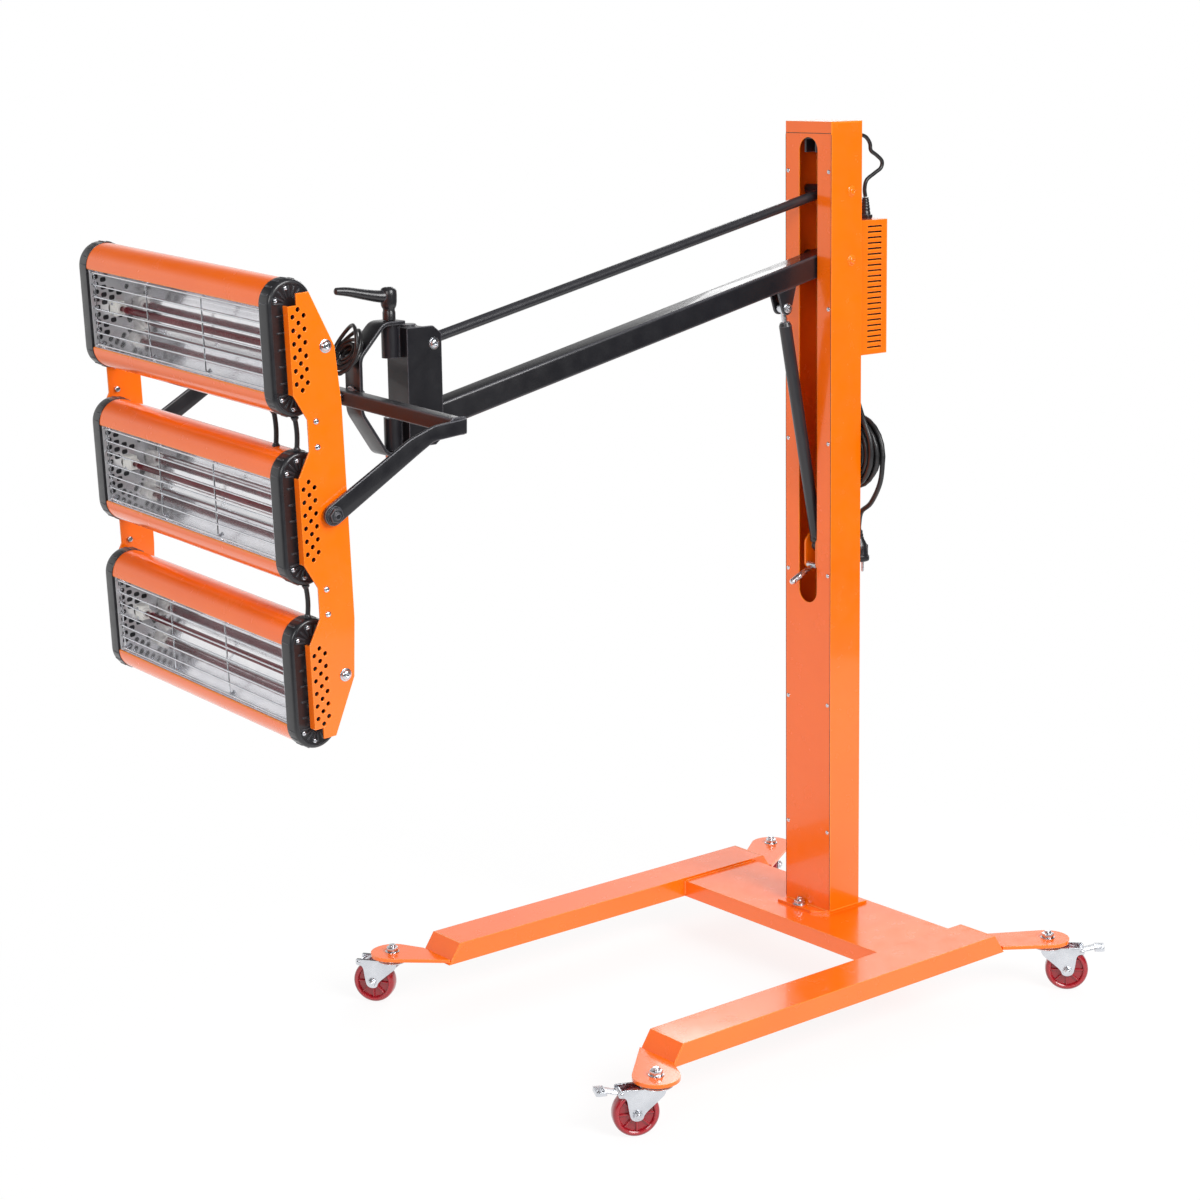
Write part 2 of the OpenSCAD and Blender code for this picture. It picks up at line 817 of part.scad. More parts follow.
module column_channel() {
    color(orange) difference() {
        translate([-col_x, -col_y, col_z]) cube([col_d - cover_t, col_w, col_top - cover_t - col_z]);
        translate([-col_x + col_wall, -col_y + col_wall, col_z - over])
            cube([col_d - cover_t - 2 * col_wall, col_w - 2 * col_wall, col_top - col_z + over]);
        translate([0, -col_y + flange, col_z - over]) cube([col_x, col_w - 2 * flange, col_top - col_z + over]);
        for (z = [boom_z, link_z]) translate([pivot_x, 0, z]) cross_rod(pivot_d + 2 * run, col_w + 2 * over);
        translate([-col_x - over, harness_hole[0], harness_hole[1]]) rotate([0, 90, 0])
            cylinder(d = harness_hole_d, h = col_wall + 2 * over);
    }
}

module slot_outline() {
    union() {
        translate([-slot_w / 2, slot_low + slot_w / 2]) square([slot_w, slot_high - slot_low - slot_w]);
        for (z = [slot_low, slot_high - slot_w]) translate([0, z + slot_w / 2]) circle(d = slot_w);
    }
}

module front_cover() {
    color(orange) front_slab(cover_x, col_x) difference() {
        translate([-col_y, col_z]) square([col_w, cover_z - col_z]);
        slot_outline();
    }
}

module column_cap() {
    color(orange) union() {
        translate([-col_x, -col_y, col_top - cover_t]) cube([col_d, col_w, cover_t]);
        translate([cover_x, -col_y, cover_z]) cube([cover_t, col_w, cap_lip]);
    }
}

module cover_screws() {
    color(orange) for (side = [-1, 1], z = cover_screw_zs) translate([col_x, side * cover_screw_y, z])
        rotate([0, 90, 0]) cylinder(r1 = cover_screw_r, r2 = cover_screw_r - 1, h = cover_screw_h);
}

module pivot_bolts() {
    color(zinc) for (z = [boom_z, link_z]) translate([pivot_x, 0, z]) union() {
        cross_rod(pivot_d, col_w + 2 * over);
        for (side = [-1, 1]) translate([0, side * col_y, 0]) rotate([-90 * side, 0, 0])
            cylinder(r1 = pivot_d / 2 + 1, r2 = pivot_d / 2 - 1, h = head_h);
    }
}

// Lower anchor of the gas spring with the lever's pin, and the guide at the slot's top
module column_brackets() {
    out = anchor_in + anchor_t;
    back = -col_x + col_wall;
    color(black_paint) {
        difference() {
            union() {
                for (side = [-1, 1]) translate([back, side > 0 ? anchor_in : -out, spring_low_z - anchor_low])
                    cube([anchor_x - back, anchor_t, anchor_low + anchor_top]);
                translate([back, -col_y + col_wall, spring_low_z - anchor_low])
                    cube([anchor_t, col_w - 2 * col_wall, anchor_low + anchor_top]);
                for (side = [-1, 1]) translate([spring_low_x, side * (out + over), spring_low_z])
                    rotate([90 * side, 0, 0]) hexagon(bolt_af, 2 * over);
            }
            translate([lever_pin_x, 0, lever_pin_z]) cross_rod(pedal_pin_d + 2 * run, 2 * out + 2 * over);
        }
        difference() {
            translate([back, -guide_w / 2, guide_z]) cube([cover_x - back - over, guide_w, slot_high - guide_z + over]);
            translate([-over, -guide_w / 2 + anchor_t, guide_z - over])
                cube([col_x, guide_w - 2 * anchor_t, slot_high - guide_z - anchor_t + over]);
        }
    }
}

module slot_lever() {
    color(black_plastic) translate([lever_pin_x, 0, lever_pin_z]) rotate([0, lever_dip, 0]) union() {
        cross_rod(pedal_pin_d, 2 * (anchor_in + anchor_t));
        cross_rod(2 * lever_t + over, 2 * (anchor_in - eps));
        translate([0, -lever_w / 2, -lever_t / 2]) cube([lever_arm - grip_len, lever_w, lever_t]);
        translate([lever_arm - grip_len - over, 0, 0]) rotate([0, 90, 0]) cylinder(d = grip_d, h = grip_len - grip_d / 2);
        translate([lever_arm - grip_d / 2 - over, 0, 0]) sphere(d = grip_d);
    }
}

// Control box

module control_box() {
    color(orange) difference() {
        translate([ctrl_back, -ctrl_y, ctrl_z]) cube([ctrl_d, ctrl_w, ctrl_h]);
        translate([ctrl_back - over, -ctrl_y + ctrl_wall, ctrl_z + ctrl_wall])
            cube([ctrl_d - ctrl_wall + over, ctrl_w - 2 * ctrl_wall, ctrl_h - 2 * ctrl_wall]);
        for (k = [0:vent_rows - 1]) translate([
            ctrl_back + vent_back, -ctrl_y - over, ctrl_z + vent_edge + k * vent_pitch_z
        ]) cube([ctrl_d - vent_back - vent_front, ctrl_w + 2 * over, vent_h]);
        translate([gland_x, 0, ctrl_z - over]) cylinder(d = gland_stem + 2 * run, h = ctrl_wall + 2 * over);
        translate([harness_low[0], harness_low[1], ctrl_z + ctrl_h - ctrl_wall - over])
            cylinder(d = gland_stem + 2 * run, h = ctrl_wall + 2 * over);
    }
}

module control_cover() {
    color(orange) union() {
        difference() {
            translate([ctrl_back - ctrl_wall, -ctrl_y, ctrl_z]) cube([ctrl_wall, ctrl_w, ctrl_h]);
            translate([ctrl_back - ctrl_wall - over, 0, dial_z]) rotate([0, 90, 0])
                cylinder(d = dial_stem + 2 * run, h = ctrl_wall + 2 * over);
            for (k = [-1:1])
                translate([ctrl_back - ctrl_wall - over, -rocker_w / 2, rocker_z + k * rocker_pitch - rocker_half])
                    cube([ctrl_wall + 2 * over, rocker_w, 2 * rocker_half]);
        }
        rocker_pins();
    }
}

// Pins across the openings, on which the rockers tip
module rocker_pins() {
    for (k = [-1:1]) translate([ctrl_back - ctrl_wall / 2, 0, rocker_z + k * rocker_pitch])
        cross_rod(rocker_pin_d, rocker_w + 2 * over);
}

module timer_dial() {
    out = ctrl_back - ctrl_wall;
    color(black_plastic) difference() {
        union() {
            translate([out - fit - dial_h, 0, dial_z]) rotate([0, 90, 0]) cylinder(d1 = dial_d - 4, d2 = dial_d, h = dial_h);
            translate([out - fit - over, 0, dial_z]) rotate([0, 90, 0]) cylinder(d = dial_stem, h = ctrl_d / 3);
        }
        translate([out - dial_h - over, -over, dial_z]) cube([4 * over, 2 * over, dial_d]);
    }
}

module rocker_switch(k) {
    half = rocker_half - fit;
    color(black_plastic) translate([ctrl_back - ctrl_wall / 2, 0, rocker_z + k * rocker_pitch]) difference() {
        side_slab(-rocker_w / 2 + fit, rocker_w / 2 - fit) polygon([
            [rocker_deep, -half / 2], [0, -half], [-rocker_nose, -half], [-rocker_pin_d, 0],
            [-rocker_nose - over, half], [0, half], [rocker_deep, half / 2]
        ]);
        cross_rod(rocker_pin_d + 2 * run, rocker_w);
    }
}

module rocker_top() { rocker_switch(1); }
module rocker_middle() { rocker_switch(0); }
module rocker_bottom() { rocker_switch(-1); }

module cable_glands() {
    color(black_plastic) {
        translate([gland_x, 0, ctrl_z - gland_h]) union() {
            translate([0, 0, gland_h / 2]) hexagon(gland_d + 2 * over, gland_h / 2);
            cylinder(d1 = gland_d - 4 * over, d2 = gland_d, h = gland_h / 2);
            cylinder(d = gland_stem, h = gland_h + 3 * ctrl_wall);
        }
        translate([harness_low[0], harness_low[1], ctrl_z + ctrl_h]) union() {
            hexagon(gland_d + 2 * over, gland_h / 2);
            cylinder(d1 = gland_d, d2 = gland_stem, h = relief_h);
            translate([0, 0, -3 * ctrl_wall]) cylinder(d = gland_stem, h = gland_h);
        }
    }
}

// Mains lead

module cord_hook() {
    z = coil_z + coil_r - coil_turns * coil_step - cord_d / 2 - hook_d / 2 - fit;
    color(zinc) union() {
        translate([ctrl_x, coil_y, z]) rotate([0, -90, 0]) cylinder(d = hook_d, h = hook_reach);
        translate([ctrl_x - hook_reach, coil_y, z]) sphere(d = hook_d);
        translate([ctrl_x - hook_reach, coil_y, z]) cylinder(d = hook_d, h = hook_up);
        translate([ctrl_x - hook_foot_t, coil_y, z]) rotate([0, 90, 0]) cylinder(d = hook_foot_d, h = hook_foot_t);
    }
}

module cord_feed() {
    color(black_plastic) tube(smooth(feed_route, 2), cord_d, cord_sides, cord_side);
}

module cord_tail() {
    color(black_plastic) tube(smooth(tail_route, 2), cord_d, cord_sides, cord_side);
}

module cord_coil() {
    p = coil_points(0, coil_turns, coil_layers, coil_r, coil_step, loop_rings);
    echo(coil_least_gap = least_gap(p, loop_rings, cord_d));
    color(black_plastic) translate([coil_x, coil_y, coil_z]) tube(p, cord_d, loop_sides, [1, 0, 0]);
}

module cord_plug() {
    end = tail_route[len(tail_route) - 1];
    color(black_plastic) translate([end[0], end[1], end[2] - plug_len]) union() {
        translate([0, 0, plug_len - plug_neck]) cylinder(d1 = plug_w * plug_waist, d2 = cord_d + 4 * over, h = plug_neck);
        cylinder(d1 = plug_w, d2 = plug_w * plug_waist, h = plug_len - plug_neck);
        translate([0, 0, -plug_rim]) cylinder(d = plug_w + plug_rim, h = plug_rim);
        for (side = [-1, 1]) translate([0, side * pin_half, -plug_rim - pin_len]) cylinder(d = pin_d, h = pin_len + over);
    }
}

module rear_harness() {
    color(black_plastic) tube(smooth(harness_route, 2), lead_d, cord_sides, harness_side);
}

// Arms, drawn with the boom's pivot at the origin and the boom along +X

module boom_frame() {
    translate([pivot_x, 0, boom_z]) rotate([0, boom_dip, 0]) children();
}

module link_frame() {
    translate([pivot_x, 0, link_z]) rotate([0, boom_dip, 0]) children();
}

module boom() {
    ear_out = clevis_in + ear_t;
    boom_frame() color(black_paint) difference() {
        union() {
            square_tube(boom_s, boom_wall, boom_len + boom_tail);
            translate([boom_len + boom_tail - boom_wall, -boom_s / 2, -boom_s / 2]) cube([boom_wall, boom_s, boom_s]);
            cross_rod(sleeve_d, 2 * sleeve_half);
            translate([boom_len, 0, 0]) cross_rod(sleeve_d, 2 * (carrier_in - fit));
            for (side = [-1, 1]) side_slab(side > 0 ? clevis_in : -ear_out, side > 0 ? ear_out : -clevis_in) union() {
                translate([clevis_along, -clevis_drop]) circle(r = ear_r);
                polygon([
                    [clevis_along - ear_w, -boom_s / 2], [clevis_along + ear_w / 2, -boom_s / 2],
                    [clevis_along + ear_r, -clevis_drop], [clevis_along - ear_r, -clevis_drop]
                ]);
            }
        }
        cross_rod(pivot_d + 2 * run, col_w);
        translate([boom_len, 0, 0]) cross_rod(pivot_d + 2 * run, carrier_w);
        translate([clevis_along, 0, -clevis_drop]) cross_rod(clevis_pin_d, 2 * ear_out + 2 * over);
    }
}

module upper_link() {
    link_frame() color(black_paint) difference() {
        union() {
            rotate([0, 90, 0]) difference() {
                cylinder(d = link_s, h = boom_len + link_tail);
                translate([0, 0, link_sleeve_d]) cylinder(d = link_s - 2 * link_wall, h = boom_len - 2 * link_sleeve_d);
            }
            cross_rod(link_sleeve_d, 2 * sleeve_half);
            translate([boom_len, 0, 0]) cross_rod(link_sleeve_d, 2 * (carrier_in - fit));
        }
        cross_rod(pivot_d + 2 * run, col_w);
        translate([boom_len, 0, 0]) cross_rod(pivot_d + 2 * run, carrier_w);
    }
}

module clevis_pin() {
    out = clevis_in + ear_t;
    boom_frame() color(zinc) translate([clevis_along, 0, -clevis_drop]) union() {
        cross_rod(clevis_pin_d, 2 * out);
        for (side = [-1, 1]) translate([0, side * out, 0]) rotate([-90 * side, 0, 0]) hexagon(bolt_af - 4, head_h);
    }
}

// Gas spring, drawn with the clevis pin at the origin and the cylinder below it
module spring_frame() {
    translate([clevis[0], 0, clevis[1]]) rotate([0, spring_lean, 0]) children();
}

module gas_rod() {
    spring_frame() color(zinc) difference() {
        union() {
            cross_rod(2 * eye_r, eye_w);
            translate([0, 0, -rod_inside]) cylinder(d = rod_d, h = rod_inside);
            translate([0, 0, -rod_inside]) cylinder(d = gas_d - 2 * gas_wall - 2 * run, h = piston_h);
        }
        cross_rod(clevis_pin_d + 2 * run, eye_w + 2 * over);
    }
}

module gas_cylinder() {
    spring_frame() color(black_paint) difference() {
        union() {
            translate([0, 0, -spring_len + eye_r]) cylinder(d = gas_d, h = gas_len - eye_r - gas_tip);
            translate([0, 0, -rod_bare - gas_tip]) cylinder(d1 = gas_d, d2 = nose_d, h = gas_tip);
            translate([0, 0, -spring_len]) cross_rod(2 * eye_r, eye_w);
            translate([0, 0, -spring_len]) cylinder(d = rod_d, h = eye_r + over);
        }
        translate([0, 0, -spring_len]) cross_rod(screw_d, eye_w + 2 * over);
        translate([0, 0, -spring_len + 4 * eye_r]) cylinder(d = gas_d - 2 * gas_wall, h = gas_len - 4 * eye_r - 2 * gas_tip);
        translate([0, 0, -rod_bare - 3 * gas_tip]) cylinder(d = rod_d + 2 * run, h = 3 * gas_tip + over);
    }
}

// Head carrier

module carrier_side() {
    polygon([
        [carrier_back, carrier_low + carrier_chamfer[1]], [carrier_back, carrier_high - carrier_chamfer[1]],
        [carrier_back + carrier_chamfer[0], carrier_high], [carrier_front, carrier_high],
        [carrier_front, carrier_low], [carrier_back + carrier_chamfer[0], carrier_low]
    ]);
}

module carrier() {
    color(black_paint) difference() {
        union() {
            for (side = [-1, 1])
                side_slab(side > 0 ? carrier_in : -carrier_w / 2, side > 0 ? carrier_w / 2 : -carrier_in) carrier_side();
            translate([carrier_front - carrier_t, -carrier_w / 2, carrier_low])
                cube([carrier_t, carrier_w, carrier_high - carrier_low]);
            for (z = knuckle_zs) {
                translate([hinge_x, 0, z]) cylinder(d = knuckle_d, h = knuckle_h);
                translate([carrier_front - over, -hinge_d / 2, z]) cube([hinge_x - carrier_front + over, hinge_d, knuckle_h]);
            }
            translate([lid_x, -carrier_in - over, carrier_high - carrier_t])
                cube([carrier_front - lid_x, 2 * (carrier_in + over), carrier_t]);
            translate([lid_x + lid_d / 2, 0, carrier_high - over]) cylinder(d = lid_d, h = lid_h + over);
        }
        translate([hinge_x, 0, knuckle_zs[0] - over]) cylinder(d = hinge_d + 2 * run, h = knuckle_zs[1] + knuckle_h - knuckle_zs[0] + 2 * over);
        for (p = [boom_end, link_end]) translate([p[0], 0, p[1]]) cross_rod(pivot_d + 2 * run, carrier_w + 2 * over);
    }
}

module carrier_pins() {
    color(zinc) {
        for (p = [boom_end, link_end]) translate([p[0], 0, p[1]]) union() {
            cross_rod(pivot_d, carrier_w);
            for (side = [-1, 1]) translate([0, side * carrier_w / 2, 0]) rotate([-90 * side, 0, 0])
                cylinder(r1 = pivot_d / 2 + 2, r2 = pivot_d / 2, h = head_h);
        }
        translate([hinge_x, 0, knuckle_zs[1]]) cylinder(d = hinge_d, h = bow_top + bow_t + fit - knuckle_zs[1]);
        translate([hinge_x, 0, bow_low - bow_t - head_h]) union() {
            hexagon(hinge_head_af, head_h);
            cylinder(d = hinge_d, h = knuckle_zs[0] + knuckle_h - bow_low + bow_t + head_h);
        }
    }
}

module clamp_lever() {
    stem = bow_top + bow_t + 2 * fit;
    hub = stem + lever_stem_h;
    color(black_plastic) translate([hinge_x, 0, 0]) union() {
        translate([0, 0, stem]) cylinder(d = hinge_d + 4, h = lever_stem_h);
        translate([0, 0, hub]) cylinder(d1 = hinge_d + lever_cap_h, d2 = lever_hub_d, h = lever_hub_h - lever_cap_h);
        translate([0, 0, hub + lever_hub_h - lever_cap_h]) cylinder(d1 = lever_hub_d, d2 = hinge_d, h = lever_cap_h);
        rotate([0, 0, -lever_turn]) side_slab(-lever_thick / 2, lever_thick / 2) link_plate(
            [lever_tip_r, hub + lever_hub_h / 2], [lever_len, hub + lever_hub_h - 2 * over], lever_root_r, lever_tip_r);
    }
}

// Bow, a bent flat bar that turns on the carrier's hinge
module bow() {
    back = hinge_x - bow_w / 2 + 4;
    zt = bow_top + bow_t / 2;
    zb = bow_low - bow_t / 2;
    front = bow_x - bow_t / 2;
    color(black_paint) difference() {
        side_slab(-bow_w / 2, bow_w / 2) bent_bar([
            [back, zt], [hinge_x + bow_round, zt], [front, zt - bow_drop], [front, roll_z - bow_foot],
            [hinge_x + bow_round, zb], [back, zb]
        ], bow_t);
        translate([hinge_x, 0, zb - bow_t]) cylinder(d = hinge_d + 2 * run, h = zt - zb + 2 * bow_t);
        translate([bow_x - bow_t - over, 0, roll_z]) rotate([0, 90, 0]) cylinder(d = roll_d + 2 * run, h = bow_t + 2 * over);
    }
}

// Spare loops of the lamp lead, tied to the bow's upper slope
module bow_cable() {
    step = lead_d + coil_gap;
    p = coil_points(hank_start, hank_turns, 2, hank_r, step, loop_rings);
    echo(hank_least_gap = least_gap(p, loop_rings, lead_d));
    color(black_plastic) translate([bow_x + hank_out, 0, roll_z + hank_up]) rotate([0, -hank_lean, 0])
        tube(p, lead_d, loop_sides, [1, 0, 0]);
}

// Yoke, drawn level about the roll bolt

module roll_frame() {
    translate([0, 0, roll_z]) rotate([-yoke_roll, 0, 0]) children();
}

module yoke_arm() {
    elbow = [bar_x + arm_elbow, 0];
    tip = [tilt_x, -yoke_drop];
    along = unit(tip - elbow);
    side = left_of(along) * arm_w / 2;
    union() {
        translate(tip) circle(r = arm_r);
        polygon([
            [bar_x - bar_s / 2, bar_s / 2], elbow + [0, bar_s / 2 - elbow_cut], elbow + along * elbow_run + side,
            tip + left_of(along) * arm_r, tip - left_of(along) * arm_r, elbow + along * elbow_run - side,
            elbow - [0, bar_s / 2 + elbow_cut], [bar_x - bar_s / 2, -bar_s / 2]
        ]);
    }
}

module yoke() {
    roll_frame() translate([0, yoke_shift, 0]) color(black_paint) difference() {
        union() {
            difference() {
                translate([bar_x - bar_s / 2, -arm_in, -bar_s / 2]) cube([bar_s, 2 * arm_in, bar_s]);
                translate([bar_x - bar_s / 2 + 2, -arm_in - over, -bar_s / 2 + 2])
                    cube([bar_s - 4, 2 * arm_in + 2 * over, bar_s - 4]);
            }
            for (side = [-1, 1]) difference() {
                side_slab(side > 0 ? arm_in : -arm_out, side > 0 ? arm_out : -arm_in) yoke_arm();
                translate([tilt_x, 0, -yoke_drop]) cross_rod(tilt_d, 2 * arm_out + 2 * over);
            }
        }
        translate([bar_x - bar_s, -yoke_shift, 0]) rotate([0, 90, 0]) cylinder(d = roll_d, h = 2 * bar_s);
    }
}

// Roll bolt and both tilt bolts, carried by the yoke
module yoke_bolts() {
    bar_back = bar_x - bar_s / 2;
    roll_frame() color(zinc) {
        union() {
            translate([bow_x - bow_t - nut_h - fit, 0, 0]) rotate([0, 90, 0])
                cylinder(d = roll_d, h = nut_h + bow_t + bar_s + 4 + head_h);
            translate([bow_x - bow_t - nut_h - fit, 0, 0]) rotate([0, 90, 0]) hexagon(nut_af + 3, nut_h);
            translate([bow_x + fit, 0, 0]) rotate([0, 90, 0]) cylinder(d = roll_washer_d, h = bar_back - bow_x - fit);
            translate([bar_x + bar_s / 2, 0, 0]) rotate([0, 90, 0]) hexagon(nut_af + 3, head_h);
        }
        for (side = [-1, 1]) translate([tilt_x, yoke_shift + side * arm_out, -yoke_drop]) rotate([90 * side, 0, 0]) union() {
            translate([0, 0, -head_h]) hexagon(nut_af, head_h);
            cylinder(d = tilt_d, h = yoke_t + arm_gap + plate_t + 4);
            translate([0, 0, yoke_t]) cylinder(d = tilt_washer_d, h = arm_gap - fit);
            translate([0, 0, yoke_t + arm_gap + plate_t + fit]) hexagon(nut_af, 4);
        }
    }
}

// Lamp head

module head_frame() {
    roll_frame() translate([tilt_x, yoke_shift, -yoke_drop]) rotate([0, head_tilt, 0])
        translate([tilt_back, 0, -tilt_up]) children();
}

// Stadium outline in u and w, about one cassette's centre
module stadium(r) {
    union() {
        translate([-lobe_r - r, -open_half]) square([2 * r, open_h]);
        for (side = [-1, 1]) translate([-lobe_r, side * open_half]) circle(r = r, $fn = round_fn);
    }
}

module plate_outline() {
    polygon(concat(
        [[-plate_end_back, plate_top], [-plate_back + plate_lean, plate_shoulder], [-plate_back, plate_hip],
         [-plate_back, -plate_hip], [-plate_back + plate_lean, -plate_shoulder], [-plate_end_back, -plate_top],
         [-plate_neck + plate_lean, -plate_top], [-plate_neck + plate_lean, -cassette_pitch - wing_h]],
        [for (k = [-1:1]) let (w = k * cassette_pitch, low = k > -1 ? 1 : 0, high = k < 1 ? 1 : 0) each concat(
            low > 0 ? [[-plate_neck, w - wing_h - neck_run], [-plate_front, w - wing_h]] : [[-plate_front, w - wing_h]],
            high > 0 ? [[-plate_front, w + wing_h], [-plate_neck, w + wing_h + neck_run]] : [[-plate_front, w + wing_h]]
        )],
        [[-plate_neck + plate_lean, cassette_pitch + wing_h], [-plate_neck + plate_lean, plate_top]]
    ));
}

module plate_holes() {
    for (k = [-1:1], col = [0:2], row = [0:vent_last[col]]) translate([
        -vent_first - col * vent_step, k * cassette_pitch + (row - vent_last[col] / 2) * vent_pitch
    ]) circle(d = vent_d);
    translate([-tilt_back, tilt_up]) circle(d = tilt_d + 2 * run);
    for (side = [-1, 1]) {
        translate([-tie_u, side * tie_w + tilt_up]) circle(d = screw_d);
        for (gap = [-1, 1]) translate([-pair_u, side * pair_w + gap * pair_gap]) circle(d = cap_screw_d);
    }
}

module side_plate(side) {
    inner = plate_y - plate_t;
    head_frame() color(orange) union() {
        side_slab(side > 0 ? inner : -plate_y, side > 0 ? plate_y : -inner) difference() {
            plate_outline();
            plate_holes();
        }
        for (k = [-1:1]) translate([
            -plate_front - plate_t, side > 0 ? inner - roll_edge : -inner, k * cassette_pitch - wing_h
        ]) cube([plate_t, roll_edge, 2 * wing_h]);
    }
}

module plate_near() { side_plate(1); }
module plate_far() { side_plate(-1); }

module tie_bars() {
    inner = plate_y - plate_t;
    head_frame() color(orange) for (side = [-1, 1]) translate([-tie_u, 0, side * tie_w + tilt_up]) cross_rod(tie_d, 2 * inner);
}

module plate_fasteners() {
    head_frame() color(zinc) for (side = [-1, 1]) {
        for (w = [-1, 1]) {
            translate([-tie_u, side * plate_y, w * tie_w + tilt_up]) rotate([-90 * side, 0, 0]) union() {
                cylinder(d1 = tie_head_d, d2 = tie_head_d - head_h, h = head_h);
                translate([0, 0, -plate_t]) cylinder(d = screw_d, h = plate_t + over);
            }
            for (gap = [-1, 1]) translate([-pair_u, side * plate_y, w * pair_w + gap * pair_gap]) rotate([-90 * side, 0, 0]) union() {
                cylinder(d1 = pair_head_d, d2 = pair_head_d - head_h / 2, h = head_h / 2);
                translate([0, 0, -plate_t - pair_nut_h]) cylinder(d = cap_screw_d, h = plate_t + pair_nut_h + over);
                translate([0, 0, -plate_t - pair_nut_h]) hexagon(pair_nut_af, pair_nut_h);
            }
        }
    }
}

module housing(k) {
    head_frame() translate([0, 0, k * cassette_pitch]) color(orange) side_slab(-cap_y, cap_y) difference() {
        stadium(lobe_r);
        stadium(lobe_r - housing_t);
        translate([-lobe_r, -open_half]) square([lobe_r + over, open_h]);
    }
}

module housing_top() { housing(1); }
module housing_middle() { housing(0); }
module housing_bottom() { housing(-1); }

function refl_path() = [
    [-refl_inset, open_half - over], [-refl_mid, refl_mid_h], [-refl_back, refl_back_h],
    [-refl_back, -refl_back_h], [-refl_mid, -refl_mid_h], [-refl_inset, -open_half + over]
];

module reflectors() {
    head_frame() color("white") for (k = cassette_rows) translate([0, 0, k * cassette_pitch]) union() {
        side_slab(-cap_y, cap_y) bent_bar(refl_path(), refl_t);
        for (side = [-1, 1]) translate([0, side * (cap_y - refl_t / 2), 0]) side_slab(-refl_t / 2, refl_t / 2) difference() {
            polygon(refl_path());
            translate([-quartz_u, quartz_w]) circle(d = quartz_d + end_rim);
            for (c = [0:end_cols - 1], r = [0:end_rows - 1]) {
                w = (r - (end_rows - 1) / 2) * end_pitch[1];
                u = end_first + c * end_pitch[0];
                if (abs(w) < open_half - end_rim - u / 2 && norm([u - quartz_u, w - quartz_w]) > quartz_d + end_rim)
                    translate([-u - end_hole[0] / 2, w - end_hole[1] / 2]) square(end_hole);
            }
        }
    }
}

module wire_guards() {
    step = (open_h - guard_rim) / (guard_rows - 1);
    span = open_len - guard_edge;
    head_frame() color(zinc) for (k = cassette_rows) translate([-guard_u, 0, k * cassette_pitch]) {
        for (r = [0:guard_rows - 1]) translate([0, 0, (r - (guard_rows - 1) / 2) * step]) cross_rod(guard_d, open_len - 2 * (refl_t + fit));
        for (c = [0:guard_cols - 1])
            translate([-guard_d, (c / (guard_cols - 1) - 0.5) * span, -guard_half]) cylinder(d = guard_d, h = 2 * guard_half);
    }
}

module end_caps() {
    head_frame() color(black_plastic) for (k = cassette_rows, side = [-1, 1]) translate([0, 0, k * cassette_pitch])
        mirror([0, side > 0 ? 0 : 1, 0]) union() {
            difference() {
                side_slab(cap_y, cap_out) stadium(lobe_r + cap_over);
                side_slab(cap_y - over, cap_out - cap_wall) stadium(cap_core);
            }
            for (w = [-stud_w, stud_w]) translate([-stud_u, cap_out - over, w]) rotate([-90, 0, 0])
                cylinder(d = stud_d, h = plate_gap + over);
        }
}

module quartz_tubes() {
    head_frame() color(ruby) for (k = cassette_rows)
        translate([-quartz_u, 0, k * cassette_pitch + quartz_w]) cross_rod(quartz_d, quartz_len);
}

module ceramic_holders() {
    head_frame() color("white") for (k = cassette_rows, side = [-1, 1])
        translate([-quartz_u, side * (cap_y - refl_t - holder[1] / 2), k * cassette_pitch + quartz_w])
            cube(holder, center = true);
}

// Short leads that cross the gaps between cassettes near the near ends
module head_cables() {
    head_frame() color(black_plastic) for (p = [
        [1, cap_y - 4 * cord_d, lobe_r], [1, cap_out - lead_d, lobe_r + cap_over], [0, cap_out - lead_d, lobe_r + cap_over]
    ]) {
        reach = open_half + p[2] + fit;
        translate([-lobe_r, p[1], (p[0] - 1) * cassette_pitch + reach])
            cylinder(d = lead_d, h = cassette_pitch - 2 * reach);
    }
}

module castor_fork_front_near() { castor_fork(0); }
module castor_fork_front_far() { castor_fork(1); }
module castor_fork_rear_near() { castor_fork(2); }
module castor_fork_rear_far() { castor_fork(3); }
module castor_wheel_front_near() { castor_wheel(0); }
module castor_wheel_front_far() { castor_wheel(1); }
module castor_wheel_rear_near() { castor_wheel(2); }
module castor_wheel_rear_far() { castor_wheel(3); }
module castor_pedal_front() { castor_pedal(0); }
module castor_pedal_rear() { castor_pedal(2); }

side_legs();
leg_end_plates();
cross_box();
foot_plate();
base_bolts();
column_channel();
front_cover();
column_cap();
cover_screws();
pivot_bolts();
column_brackets();
slot_lever();
control_box();
control_cover();
timer_dial();
rocker_top();
rocker_middle();
rocker_bottom();
cable_glands();
cord_hook();
cord_feed();
cord_coil();
cord_tail();
cord_plug();
rear_harness();
castor_fork_front_near();
castor_fork_front_far();
castor_fork_rear_near();
castor_fork_rear_far();
castor_wheel_front_near();
castor_wheel_front_far();
castor_wheel_rear_near();
castor_wheel_rear_far();
castor_pedal_front();
castor_pedal_rear();
boom();
upper_link();
gas_cylinder();
gas_rod();
clevis_pin();
carrier();
carrier_pins();
clamp_lever();
bow();
bow_cable();
yoke();
yoke_bolts();
plate_near();
plate_far();
tie_bars();
plate_fasteners();
housing_top();
housing_middle();
housing_bottom();
reflectors();
wire_guards();
end_caps();
quartz_tubes();
ceramic_holders();
head_cables();
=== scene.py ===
from math import atan2, cos, degrees, dist, floor, pi, radians, sin, sqrt, tau

import bmesh
import bpy
from mathutils import Matrix, Vector


